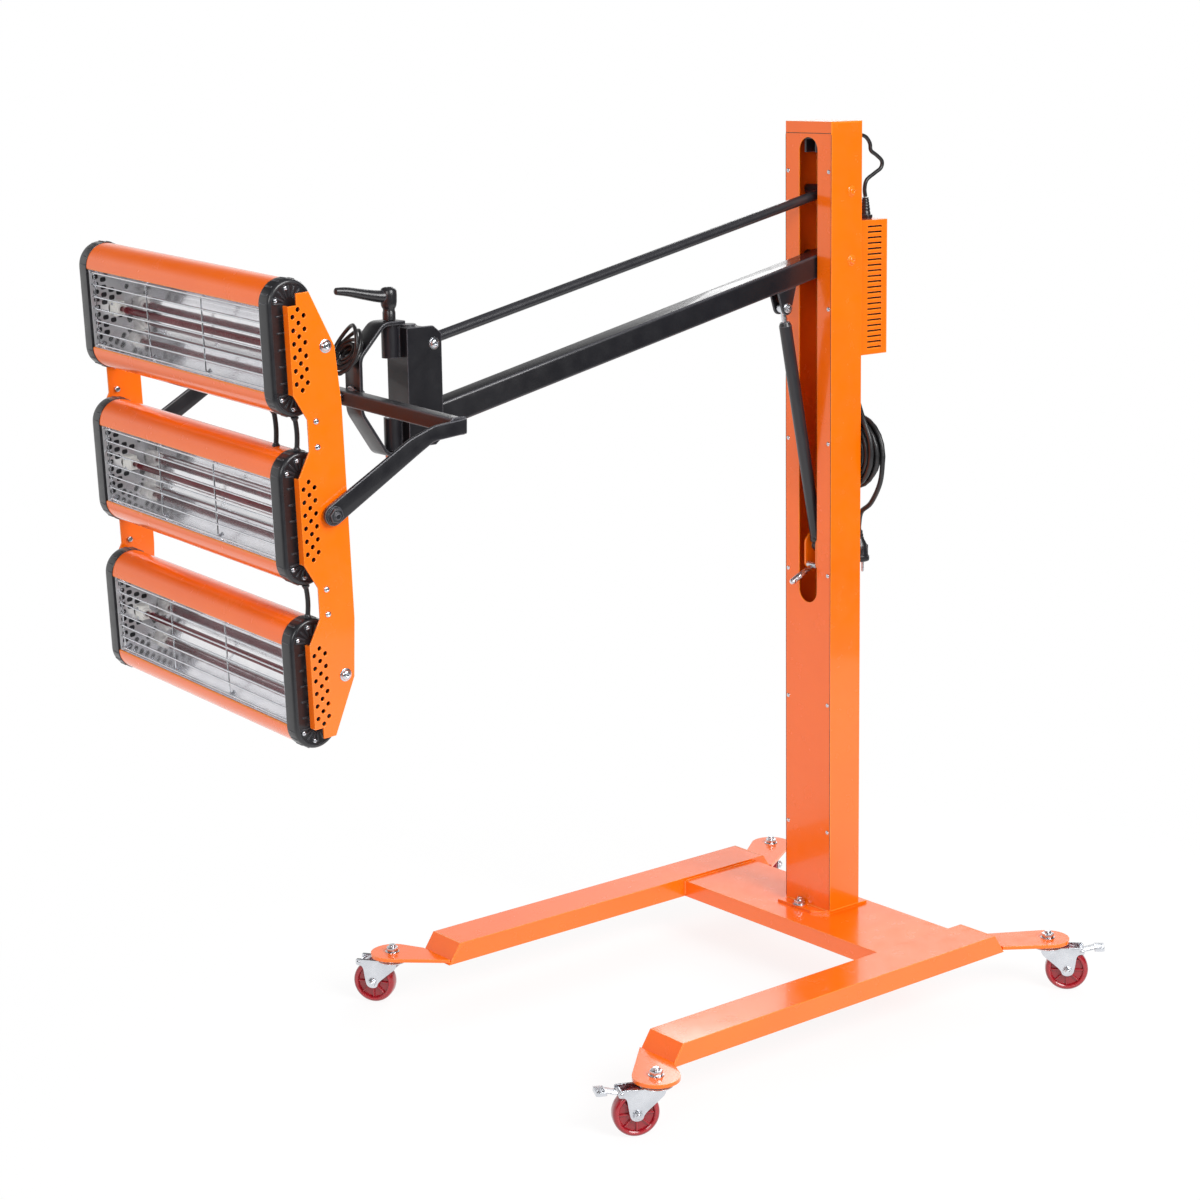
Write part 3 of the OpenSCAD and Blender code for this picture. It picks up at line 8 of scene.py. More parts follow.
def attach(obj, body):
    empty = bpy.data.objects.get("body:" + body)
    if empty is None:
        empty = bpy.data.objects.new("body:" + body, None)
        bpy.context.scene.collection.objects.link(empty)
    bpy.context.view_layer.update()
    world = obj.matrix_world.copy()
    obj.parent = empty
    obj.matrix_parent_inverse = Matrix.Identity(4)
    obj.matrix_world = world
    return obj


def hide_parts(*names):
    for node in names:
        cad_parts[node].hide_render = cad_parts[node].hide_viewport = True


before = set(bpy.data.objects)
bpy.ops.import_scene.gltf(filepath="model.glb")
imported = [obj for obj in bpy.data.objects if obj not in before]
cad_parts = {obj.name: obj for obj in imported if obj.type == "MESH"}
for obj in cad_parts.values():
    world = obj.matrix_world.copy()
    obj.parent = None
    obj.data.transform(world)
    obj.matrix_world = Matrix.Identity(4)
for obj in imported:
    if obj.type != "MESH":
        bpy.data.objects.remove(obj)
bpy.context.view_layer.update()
scene = bpy.context.scene

# Local frames of the part, each from millimetres to metres

MM = Matrix.Scale(0.001, 4)
SIDES = (1, -1)


def shift(x, y, z):
    return Matrix.Translation((x, y, z))


def turn(angle, axis):
    return Matrix.Rotation(radians(angle), 4, axis)


def mirror(side):
    """Leaves the near side (1) as it is and swaps it for the far side (-1)."""
    return Matrix.Diagonal((1, side, 1, 1))


def outward(side, x, y, z):
    """Frame at a place on the near or far side, with its Z axis pointing outwards."""
    return mirror(side) @ shift(x, y, z) @ turn(-90, "X")


BOOM_DIP, BOOM_LEN, LINK_RISE = 12.35, 888.6, 118.5
PIVOT_X, PIVOT_Z = -13, 1287
CLEVIS_ALONG, CLEVIS_DROP = 125.2, 52.4
SPRING_LOW = (13, 780)
ROLL_ANGLE, TILT_ANGLE = -2.62, 3.53
HEAD_Y, TILT_DROP = 4.6, 100.4
HEAD_AHEAD, HEAD_LIFT = 67.5, -3.7
dip = radians(BOOM_DIP)
END_X = PIVOT_X + BOOM_LEN * cos(dip)
END_Z = PIVOT_Z - BOOM_LEN * sin(dip)
HINGE_X = END_X + 63
ROLL_Z = END_Z + 48
CARRIER_LOW = END_Z - 38
CARRIER_HIGH = END_Z + LINK_RISE + 27
BOW_X = HINGE_X + 70
BAR_X = BOW_X + 15
TILT_X = BAR_X + 214
CLEVIS = (
    PIVOT_X + CLEVIS_ALONG * cos(dip) - CLEVIS_DROP * sin(dip),
    PIVOT_Z - CLEVIS_ALONG * sin(dip) - CLEVIS_DROP * cos(dip),
)
SPRING_LEN = dist(CLEVIS, SPRING_LOW)
SPRING_LEAN = degrees(atan2(CLEVIS[0] - SPRING_LOW[0], CLEVIS[1] - SPRING_LOW[1]))
ROLL = MM @ shift(0, 0, ROLL_Z) @ turn(ROLL_ANGLE, "X")
TILT = ROLL @ shift(TILT_X, HEAD_Y, -TILT_DROP) @ turn(TILT_ANGLE, "Y")
ROW_PITCH = 238
ROWS = (ROW_PITCH, 0, -ROW_PITCH)
HEAD_ENDS = [(row, side) for row in ROWS for side in SIDES]
CASTOR_FRONT, CASTOR_REAR, CASTOR_Y = 706, -207, 357
CASTORS = (
    ("front_near", CASTOR_FRONT, CASTOR_Y, -26), ("front_far", CASTOR_FRONT, -CASTOR_Y, -56),
    ("rear_near", CASTOR_REAR, CASTOR_Y, 135), ("rear_far", CASTOR_REAR, -CASTOR_Y, 228),
)

FRAMES = {
    "boom": MM @ shift(PIVOT_X, 0, PIVOT_Z) @ turn(BOOM_DIP, "Y"),
    "upper_link": MM @ shift(PIVOT_X, 0, PIVOT_Z + LINK_RISE) @ turn(BOOM_DIP, "Y"),
    "gas_cylinder": MM @ shift(CLEVIS[0], 0, CLEVIS[1]) @ turn(SPRING_LEAN, "Y"),
    "slot_lever": MM @ shift(25, 0, 746) @ turn(25, "Y"),
    "clamp_lever": MM @ shift(HINGE_X, 0, 0),
    "yoke": ROLL,
    "lamp_head": TILT @ shift(HEAD_AHEAD, 0, HEAD_LIFT),
}
for word, x, y, angle in CASTORS:
    FRAMES[f"castor_{word}"] = FRAMES[f"wheel_{word}"] = MM @ shift(x, y, 0) @ turn(angle, "Z")
for end in ("front", "rear"):
    FRAMES[f"pedal_{end}"] = FRAMES[f"castor_{end}_near"]

# Camera, at the photograph's viewing angle

CAMERA_AT = (3.0687, 3.1356, 1.6646)
AZIMUTH, PITCH, LEAN = radians(140.93), radians(10.51), radians(-0.85)
PICTURE = 1200
FOCAL_PX, CENTRE_X, CENTRE_Y = 2505.6, 594, 506.5
SENSOR = 36
forward = Vector((-sin(AZIMUTH) * cos(PITCH), cos(AZIMUTH) * cos(PITCH), -sin(PITCH)))
right = forward.cross(Vector((0, 0, 1))).normalized()
upward = right.cross(forward)
cam_x = right * cos(LEAN) + upward * sin(LEAN)
cam_y = upward * cos(LEAN) - right * sin(LEAN)
camera = bpy.data.objects.new("camera", bpy.data.cameras.new("camera"))
scene.collection.objects.link(camera)
camera.matrix_world = Matrix.Translation(CAMERA_AT) @ Matrix((cam_x, cam_y, -forward)).transposed().to_4x4()
camera.data.sensor_width = SENSOR
camera.data.lens = FOCAL_PX / PICTURE * SENSOR
camera.data.shift_x = (PICTURE / 2 - CENTRE_X) / PICTURE
camera.data.shift_y = (CENTRE_Y - PICTURE / 2) / PICTURE
camera.data.clip_end = 50
scene.camera = camera

# Materials

MATERIALS = {}


class Nodes:
    """A small helper that adds nodes to one node tree and links them."""

    def __init__(self, tree):
        self.tree = tree
        self.where = self.add("ShaderNodeTexCoord").outputs

    def feed(self, socket, value):
        if isinstance(value, bpy.types.NodeSocket):
            self.tree.links.new(value, socket)
        else:
            socket.default_value = (*value, 1) if socket.type == "RGBA" else value

    def add(self, kind, **values):
        node = self.tree.nodes.new(kind)
        for key, value in values.items():
            name = key.replace("_", " ")
            if name in node.inputs:
                self.feed(node.inputs[name], value)
            else:
                setattr(node, key, value)
        return node

    def set(self, node, **values):
        """Feeds the inputs of a node that the tree has already."""
        for key, value in values.items():
            self.feed(self.tree.nodes[node].inputs[key.replace("_", " ")], value)

    def maths(self, operation, *values, kind=""):
        node = self.add(f"ShaderNode{kind}Math", operation=operation)
        for socket, value in zip(node.inputs, values):
            self.feed(socket, value)
        return node.outputs["Value"]

    def noise(self, scale, detail=3, rough=0.55, stretch=None):
        place = self.where["Object"]
        if stretch:
            place = self.add("ShaderNodeMapping", Vector=place, Scale=stretch).outputs["Vector"]
        return self.add(
            "ShaderNodeTexNoise", Vector=place, Scale=scale, Detail=detail, Roughness=rough
        ).outputs["Fac"]

    def spread(self, source, low=0, high=1, start=0.3, stop=0.7):
        return self.add(
            "ShaderNodeMapRange", Value=source, From_Min=start, From_Max=stop, To_Min=low, To_Max=high
        ).outputs["Result"]

    def mix(self, factor, a, b):
        node = self.add("ShaderNodeMix", data_type="RGBA")
        for index, value in zip((0, 6, 7), (factor, a, b)):
            self.feed(node.inputs[index], value)
        return node.outputs[2]

    def softened(self, radius):
        return self.add("ShaderNodeBevel", samples=4, Radius=radius).outputs["Normal"]

    def bump(self, height, strength, distance, radius):
        normal = self.softened(radius)
        return self.add(
            "ShaderNodeBump", Height=height, Strength=strength, Distance=distance, Normal=normal
        ).outputs["Normal"]

    def edges(self, radius, low=0.02, high=0.25):
        """Mask that is 1 on edges and 0 on flat faces."""
        flat = self.add("ShaderNodeNewGeometry").outputs["Normal"]
        bend = self.maths("DISTANCE", self.softened(radius), flat, kind="Vector")
        return self.spread(bend, start=low, stop=high)


def new_material(name):
    material = bpy.data.materials.new(name)
    material.use_nodes = True
    MATERIALS[name] = material
    return Nodes(material.node_tree)


SHADER = "Principled BSDF"


def paint(name, colour, edge_highlight, deep, rough, coat, peel, radius):
    """Stove-enamelled or powder-coated metal: cloudy colour, a thin painted highlight along the edges,
    orange peel.
    """
    n = new_material(name)
    base = n.mix(n.spread(n.noise(7, 4)), deep, colour)
    # The bevel's edge mask lightens the paint on every edge to its second colour: a painted highlight, not
    # wear.
    n.set(
        SHADER, Base_Color=n.mix(n.edges(radius), base, edge_highlight),
        Roughness=n.spread(n.noise(38), rough - 0.05, rough + 0.07),
        Normal=n.bump(n.noise(420, 2), peel, 0.0004, radius),
        Coat_Weight=coat, Coat_Roughness=0.06, Specular_IOR_Level=0.5,
    )


def metal(name, colour, dark, rough, streak, bump=0.12, metallic=1):
    """Plated or polished metal with fine streaks and slightly cloudy gloss."""
    n = new_material(name)
    lines = n.noise(90, 3, 0.6, streak)
    n.set(
        SHADER, Base_Color=n.mix(n.spread(n.noise(26, 4)), dark, colour),
        Metallic=metallic, Roughness=n.spread(lines, rough * 0.7, rough * 1.35),
        Normal=n.bump(lines, bump, 0.0003, 0.0008),
    )


def plastic(name, colour, edge_highlight, rough, grain, scale, coat=0):
    """Moulded plastic, rubber or glaze with a fine grain and a painted highlight along the edges."""
    n = new_material(name)
    base = n.mix(n.spread(n.noise(19, 4)), colour, tuple(1.25 * c for c in colour))
    # The bevel's edge mask lightens every edge to the second colour: a painted highlight, not wear.
    n.set(
        SHADER, Base_Color=n.mix(n.edges(0.0008), base, edge_highlight),
        Roughness=n.spread(n.noise(60), rough - 0.06, rough + 0.08),
        Normal=n.bump(n.noise(scale, 2), grain, 0.0003, 0.0008),
        Coat_Weight=coat, Coat_Roughness=0.1,
    )


def ruby_quartz():
    """Ruby-coated quartz: dark red glass whose coat is a little uneven along the tube."""
    n = new_material("quartz")
    cloud = n.spread(n.noise(30, 3, 0.6, (1, 0.3, 1)))
    n.set(
        SHADER, Base_Color=n.mix(cloud, (0.16, 0.008, 0.016), (0.34, 0.03, 0.045)),
        Roughness=n.spread(n.noise(50), 0.02, 0.07), Transmission_Weight=0.7, IOR=1.46,
    )


def hot_wire():
    """Spiral of dull grey metal."""
    n = new_material("filament")
    n.set(
        SHADER, Base_Color=n.mix(n.noise(200), (0.16, 0.13, 0.12), (0.34, 0.3, 0.28)),
        Metallic=1, Roughness=n.spread(n.noise(120), 0.3, 0.5),
    )


# The second colour of each paint is its painted highlight along the edges.
paint(
    "orange_paint", colour=(0.95, 0.15, 0.001), edge_highlight=(0.98, 0.27, 0.02), deep=(0.91, 0.134, 0.0008),
    rough=0.22, coat=0.55, peel=0.03, radius=0.0018,
)
paint(
    "black_paint", colour=(0.0095, 0.0095, 0.0125), edge_highlight=(0.1, 0.1, 0.115), deep=(0.007, 0.007, 0.009),
    rough=0.34, coat=0.25, peel=0.14, radius=0.0022,
)
metal("zinc", (0.78, 0.8, 0.84), (0.6, 0.62, 0.66), 0.26, (1, 1, 6))
metal("wire", (0.86, 0.87, 0.9), (0.7, 0.72, 0.76), 0.16, (1, 8, 1))
metal("reflector", (0.95, 0.945, 0.96), (0.88, 0.88, 0.91), 0.09, (6, 0.6, 6), 0.1, 0.88)
metal("end_sheet", (0.95, 0.945, 0.96), (0.88, 0.88, 0.91), 0.14, (6, 0.6, 6), 0.1, 0.6)
# The second colour of each plastic is its painted highlight along the edges.
plastic("black_plastic", (0.012, 0.012, 0.014), (0.06, 0.06, 0.07), 0.32, 0.18, 900, 0.25)
plastic("cord_rubber", (0.012, 0.012, 0.013), (0.03, 0.03, 0.034), 0.38, 0.2, 600, 0.1)
plastic("wheel_poly", (0.24, 0.004, 0.01), (0.45, 0.02, 0.03), 0.22, 0.1, 260, 0.6)
plastic("ceramic", (0.82, 0.8, 0.76), (0.9, 0.89, 0.86), 0.3, 0.25, 380, 0.2)
plastic("mark", (0.75, 0.75, 0.74), (0.85, 0.85, 0.84), 0.45, 0.05, 600)
plastic("red_lens", (0.55, 0.02, 0.012), (0.8, 0.1, 0.06), 0.15, 0.05, 300, 0.6)
ruby_quartz()
hot_wire()

# Mesh building, in local millimetres

SIDE = turn(90, "X")
ALONG = turn(90, "Y")
BACKWARD = turn(-90, "Y")
FRONT = Matrix(((0, 0, 1, 0), (1, 0, 0, 0), (0, 1, 0, 0), (0, 0, 0, 1)))


def placed(points, at):
    return [at @ Vector(p) for p in points]


def arc(centre, radius, start, stop, steps):
    return [
        (centre[0] + radius * cos(radians(start + (stop - start) * k / steps)),
         centre[1] + radius * sin(radians(start + (stop - start) * k / steps)))
        for k in range(steps + 1)
    ]


def circle(radius, n, z=0):
    return [(radius * cos(tau * k / n), radius * sin(tau * k / n), z) for k in range(n)]


def loft(bm, rings, loop=False, ends=True):
    rows = [[bm.verts.new(p) for p in ring] for ring in rings]
    pairs = list(zip(rows, rows[1:])) + ([(rows[-1], rows[0])] if loop else [])
    for a, b in pairs:
        for k in range(len(a)):
            n = (k + 1) % len(a)
            bm.faces.new((a[k], a[n], b[n], b[k]))
    if ends and not loop:
        bm.faces.new(rows[0][::-1])
        bm.faces.new(rows[-1])


def lathe(bm, profile, at=Matrix(), n=40, ends=True):
    """Turns (radius, height) points about the local Z axis."""
    loft(bm, [placed(circle(r, n, z), at) for r, z in profile], ends=ends)


def disc(bm, radius, low, high, at, n=32):
    lathe(bm, [(radius, low), (radius, high), (0, high)], at, n)


def area(outline):
    return sum(a[0] * b[1] - b[0] * a[1] for a, b in zip(outline, outline[1:] + outline[:1])) / 2


def inset(outline, depth):
    """Moves every side of a counterclockwise outline inwards."""
    points = []
    for k, p in enumerate(outline):
        before, after = Vector(outline[k - 1]), Vector(outline[(k + 1) % len(outline)])
        p = Vector(p)
        a = (p - before).normalized()
        b = (after - p).normalized()
        na, nb = Vector((-a.y, a.x)), Vector((-b.y, b.x))
        mean = (na + nb).normalized()
        points.append(p + mean * depth / max(mean.dot(nb), 0.3))
    return points


def slab(bm, outline, low, high, at=Matrix(), edge=0.6, steps=2):
    """Prism along local Z with rounded rims."""
    outline = [tuple(p) for p in outline]
    if area(outline) < 0:
        outline.reverse()
    turns = [pi / 2 * k / steps for k in range(steps + 1)]
    lower = [(edge * (1 - sin(t)), low + edge * (1 - cos(t))) for t in turns]
    upper = [(d, high + low - z) for d, z in reversed(lower)]
    loft(bm, [placed([(p[0], p[1], z) for p in inset(outline, d)], at) for d, z in lower + upper])


def rounded(outline, radius, steps=4):
    """Rounds each corner of an outline; radius is a number or one for each corner."""
    points = []
    for k, p in enumerate(outline):
        r = radius if isinstance(radius, (int, float)) else radius[k]
        p = Vector(p)
        a, b = Vector(outline[k - 1]), Vector(outline[(k + 1) % len(outline)])
        if r <= 0:
            points.append(p)
            continue
        start = p + (a - p).normalized() * min(r, (a - p).length * 0.49)
        stop = p + (b - p).normalized() * min(r, (b - p).length * 0.49)
        for s in range(steps + 1):
            t = s / steps
            points.append(start * (1 - t) ** 2 + p * 2 * t * (1 - t) + stop * t * t)
    return points


def oblong(wide, high, radius, steps=4):
    x, y = wide / 2, high / 2
    return rounded([(-x, -y), (x, -y), (x, y), (-x, y)], radius, steps)


def block(bm, size, centre, at=Matrix(), edge=0.8):
    half = size[2] / 2
    slab(bm, oblong(size[0], size[1], edge, 2), -half, half, at @ shift(*centre), edge * 0.7)


def hexagon(bm, across, low, high, at=Matrix(), spin=0):
    """Hexagon with slightly rounded corners and rims, for nuts and bolt heads."""
    corners = arc((0, 0), across / sqrt(3), spin, spin + 300, 5)
    slab(bm, rounded(corners, 0.8, 2), low, high, at, min(0.7, (high - low) * 0.3))


def sweep(bm, path, radius, n=10, closed=False):
    """Round bar along a path; radius is a number or one for each point."""
    path = [Vector(p) for p in path]
    last = len(path)
    radii = [radius] * last if isinstance(radius, (int, float)) else radius

    def along(k):
        if closed:
            return (path[(k + 1) % last] - path[k - 1]).normalized()
        return (path[min(k + 1, last - 1)] - path[max(k - 1, 0)]).normalized()

    normal = along(0).orthogonal().normalized()
    rings = []
    for k, p in enumerate(path):
        t = along(k)
        normal = (normal - t * normal.dot(t)).normalized()
        side = t.cross(normal)
        rings.append([p + radii[k] * (normal * u + side * v) for u, v, _ in circle(1, n)])
    loft(bm, rings, loop=closed)


def smooth(points, steps):
    """Even curve through points, the same rule as the part's own cable routes."""
    points = [Vector(p) for p in points]
    route = []
    for k in range(len(points) - 1):
        a, b = points[max(k - 1, 0)], points[k]
        c, d = points[k + 1], points[min(k + 2, len(points) - 1)]
        for s in range(steps):
            t = s / steps
            route.append(0.5 * (2 * b + (c - a) * t + (2 * a - 5 * b + 4 * c - d) * t * t
                                + (3 * b - a - 3 * c + d) * t ** 3))
    return route + [points[-1]]


def rod(bm, d, half, at=Matrix(), n=28):
    """Cylinder along local Y, centred, with chamfered ends."""
    r = d / 2
    at = at @ turn(-90, "X")
    lathe(bm, [(r - 0.6, -half), (r, -half + 0.6), (r, half - 0.6), (r - 0.6, half)], at, n)


def button(bm, r, h, at):
    """Domed screw head with a socket."""
    lathe(bm, [
        (r, -0.6), (r, 0.25 * h), (0.92 * r, 0.55 * h), (0.72 * r, 0.86 * h), (0.5 * r, h), (0.36 * r, h),
        (0.34 * r, 0.4 * h), (0, 0.4 * h),
    ], at, 24)


def ribbon(path, thick):
    """Outline of a sheet of one thickness along an open path."""
    left, other = [], []
    for k, p in enumerate(path):
        p = Vector(p)
        a, b = Vector(path[max(k - 1, 0)]), Vector(path[min(k + 1, len(path) - 1)])
        along = (b - a).normalized()
        side = Vector((-along.y, along.x)) * thick / 2
        left.append(p + side)
        other.append(p - side)
    return left + other[::-1]


def open_bends(points, radius, steps=5):
    """Rounds the inner corners of an open path."""
    inner = rounded(points, [0] + [radius] * (len(points) - 2) + [0], steps)
    return [tuple(p) for p in inner]


# Pieces, each drawn in its body's frame, riding on that body and taking its finish from a slot

def finish_piece(obj, body, material, *stands_for):
    scene.collection.objects.link(obj)
    obj.data.materials.append(MATERIALS[material])
    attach(obj, body)
    if stands_for:
        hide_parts(*stands_for)
    return obj


def add_mesh(name, body, material, draw, *stands_for, sharp=35):
    """Builds one mesh piece from code that draws into a bmesh in local millimetres."""
    bm = bmesh.new()
    draw(bm)
    bmesh.ops.remove_doubles(bm, verts=bm.verts, dist=0.004)
    bmesh.ops.recalc_face_normals(bm, faces=bm.faces)
    bm.transform(FRAMES.get(body, MM))
    mesh = bpy.data.meshes.new(name)
    bm.to_mesh(mesh)
    bm.free()
    mesh.shade_smooth()
    mesh.set_sharp_from_angle(angle=radians(sharp))
    return finish_piece(bpy.data.objects.new(name, mesh), body, material, *stands_for)


def piece(body, material, *stands_for, sharp=35):
    """Marks a drawing function as one piece: its name then holds the piece, which has the same name."""
    return lambda draw: add_mesh(draw.__name__, body, material, draw, *stands_for, sharp=sharp)


def splines(name, dimensions, paths, at=Matrix()):
    data = bpy.data.curves.new(name, "CURVE")
    data.dimensions = dimensions
    for path in paths:
        spline = data.splines.new("POLY")
        spline.points.add(len(path) - 1)
        for point, p in zip(spline.points, path):
            point.co = (*(at @ Vector(p)), 1)
    return data


def wire_piece(name, body, material, paths, radius, *stands_for):
    """One curve object, a round bar along each path."""
    data = splines(name, "3D", paths, FRAMES.get(body, MM))
    data.bevel_depth = radius * 0.001
    data.bevel_resolution = 3
    data.use_fill_caps = True
    for spline in data.splines:
        spline.use_smooth = True
    return finish_piece(bpy.data.objects.new(name, data), body, material, *stands_for)


def baked(name, data, at):
    """Turns a flat curve or text into a mesh."""
    source = bpy.data.objects.new(name, data)
    mesh = bpy.data.meshes.new_from_object(source)
    bpy.data.objects.remove(source)
    mesh.transform(at)
    return mesh


def cutout(name, body, material, outlines, thickness, at):
    """Flat sheet with holes: the first outline is the edge, the others are cut out of it."""
    data = splines(name, "2D", [[(u, v, 0) for u, v in outline] for outline in outlines])
    data.fill_mode = "BOTH"
    data.extrude = thickness / 2
    for spline in data.splines:
        spline.use_cyclic_u = True
    mesh = baked(name, data, FRAMES[body] @ at)
    mesh.set_sharp_from_angle(angle=radians(30))
    return finish_piece(bpy.data.objects.new(name, mesh), body, material)


# Mains lead: one length from the gland, through the coil on its hook, to the plug

CORD_D = 9
COIL_STEP = CORD_D + 0.7
COIL_TURNS, COIL_LAYERS, COIL_R = 3, 4, 66
COIL_AT = Vector((-45, 8, 942))
TURN_POINTS = 24
FEED = [
    (-70.5, 0, 1103.4), (-70.5, 0, 1090), (-66, 8, 1062), (-54, 32, 1034),
    (-45, 54, 1006), (-45, 70, 974), (-45, 74, 951), (-45, 74, 942),
]
TAIL = [
    (-74.1, 74, 942), (-74.1, 74, 932), (-76, 66, 890), (-80, 40, 850), (-82, 14, 830), (-82, 8, 806),
    (-82, 8, 796),
]
HARNESS = [
    (-37, 20, 1497), (-60, 20, 1499), (-80, 20, 1496), (-92, 20, 1484), (-94, 21, 1471), (-106, 22, 1463),
    (-120, 22, 1452), (-119, 21, 1440), (-104, 20, 1431), (-86, 19, 1420), (-82, 18, 1405), (-84, 18, 1391),
]


def coil_path(start, turns, layers, radius, step):
    """Piled loops about the X axis that spiral in and out and climb a layer at each turn of the spiral."""
    path = []
    for k in range(turns * layers * TURN_POINTS + 1):
        s = min(k / TURN_POINTS, turns * layers - 0.0001)
        layer = floor(s / turns)
        f = s - turns * layer
        q = radius - step * (f if layer % 2 == 0 else turns - f)
        near = min(max(round(s / turns), 1), layers - 1)
        climb = step * (near - 1 + min(max((s - turns * near + 0.25) / 0.5, 0), 1))
        a = radians(start - 360 * s)
        path.append(Vector((-climb, q * cos(a), q * sin(a))))
    return path


coil = [COIL_AT + p for p in coil_path(0, COIL_TURNS, COIL_LAYERS, COIL_R, COIL_STEP)]
lead = smooth(FEED, 5)[:-1] + coil + smooth(TAIL, 5)[1:]
mains_lead = wire_piece(
    "mains_lead", "stand", "cord_rubber", [lead], CORD_D / 2, "cord_feed", "cord_coil", "cord_tail"
)
PLUG_AT = shift(*TAIL[-1])


@piece("stand", "black_plastic", "cord_plug")
def plug_body(bm):
    """Earthed plug: gripped body, flange and contact face."""
    lathe(bm, [
        (5.4, 0), (6.6, -1), (7, -5), (6.4, -6), (7.6, -7), (8, -11), (7.4, -12), (8.8, -13), (9.6, -17),
        (11.5, -20), (14.5, -26), (15.6, -32), (16.6, -38), (16.8, -44), (17.4, -46), (18.8, -47),
        (19, -52), (18.4, -55), (16.5, -56), (15.5, -54.5), (0, -54.5),
    ], PLUG_AT, 48)
    for k in range(10):
        block(bm, (2.4, 1.6, 16), (15.6, 0, -35), PLUG_AT @ turn(36 * k, "Z"), 0.6)


@piece("stand", "zinc")
def plug_pins(bm):
    for side in (-1, 1):
        at = PLUG_AT @ shift(0, 9.5 * side, 0)
        lathe(bm, [(2.4, -52), (2.4, -72), (2, -74.4), (0.9, -75)], at, 20)


# Floor, world and lamps

PALE = (0.93, 0.93, 0.93)
FLOOR_AT, FLOOR_R = (0.3, 0), 2.6
DIFFUSE_LEVEL, DARKEST = 0.62, 0.035


def room():
    """White room to the eye; reflections see one bright wall at the back and a dim room elsewhere."""
    scene.world = bpy.data.worlds.new("studio")
    scene.world.use_nodes = True
    n = Nodes(scene.world.node_tree)
    ray = n.add("ShaderNodeLightPath").outputs
    where = n.where["Generated"]
    height = n.add("ShaderNodeSeparateXYZ", Vector=where).outputs["Z"]
    facing = n.spread(n.maths("DOT_PRODUCT", where, (0, -1, 0), kind="Vector"), 0, 0.9, 0.05, 0.35)
    wall = n.maths("MULTIPLY", facing, n.spread(n.maths("ABSOLUTE", height), 1, 0, 0.32, 0.55))
    seen = n.maths("MAXIMUM", n.maths("MAXIMUM", wall, n.spread(height, 0, 0.25, 0.6, 1)), DARKEST)
    glossy = n.maths("MULTIPLY", ray["Is Glossy Ray"], n.maths("SUBTRACT", seen, DIFFUSE_LEVEL))
    clear = n.maths("MAXIMUM", ray["Is Camera Ray"], ray["Is Transmission Ray"])
    level = n.maths("MAXIMUM", n.maths("ADD", glossy, DIFFUSE_LEVEL), clear)
    n.set("Background", Color=(1, 1, 1), Strength=level)


def floor_disc():
    """Pale floor that fades to plain white away from the stand."""
    n = new_material("floor")
    cloud = n.spread(n.noise(3))
    n.set(SHADER, Base_Color=n.mix(cloud, (0.9, 0.9, 0.9), PALE), Roughness=0.75)
    fade = n.spread(n.maths("LENGTH", n.where["Object"], kind="Vector"), 0.84, 1, 0.35, 1.35)
    blend = n.add("ShaderNodeMixShader")
    glow = n.add("ShaderNodeEmission", Color=(1, 1, 1), Strength=1)
    for socket, source in zip(blend.inputs, (fade, n.tree.nodes[SHADER].outputs[0], glow.outputs[0])):
        n.feed(socket, source)
    n.set("Material Output", Surface=blend.outputs[0])
    mesh = bpy.data.meshes.new("floor")
    rim = arc((0, 0), FLOOR_R, 0, 354, 59)
    mesh.from_pydata([(x, y, 0) for x, y in rim], [], [tuple(range(len(rim)))])
    mesh.materials.append(MATERIALS["floor"])
    plate = bpy.data.objects.new("floor", mesh)
    plate.location = (*FLOOR_AT, 0)
    scene.collection.objects.link(plate)


def lamp(name, place, aim, size, power):
    light = bpy.data.objects.new(name, bpy.data.lights.new(name, "AREA"))
    light.data.energy = power
    light.data.size = size
    light.location = place
    light.rotation_euler = (Vector(aim) - Vector(place)).to_track_quat("-Z", "Y").to_euler()
    scene.collection.objects.link(light)


room()
floor_disc()
lamp("key", (0.2, 4.4, 3.4), (0.5, 0, 0.8), 2.6, 250)
lamp("front", (4.2, 2.3, 2.3), (0.4, 0, 0.9), 1.4, 46)
lamp("back", (-3.2, -2.6, 3.4), (0.2, 0, 0.9), 2.4, 70)
scene.view_settings.view_transform = "Standard"

# Looks of the carried-over solids: orange paint, apart from a few

LOOKS = {"gas_cylinder": "black_paint", "carrier": "black_paint", "gas_rod": "zinc"}
for name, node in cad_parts.items():
    for slot in node.material_slots:
        slot.material = MATERIALS[LOOKS.get(name, "orange_paint")]

# Base and castors, each castor in its own frame with the wheel trailing along x

WHEEL_R, TRAIL, CHEEK = 37.5, 34, 16
PEDAL_X, PEDAL_Z = 59, 72.5
TONGUE_TOP, BOX_TOP = 93, 113
PLATE_TOP = BOX_TOP + 5


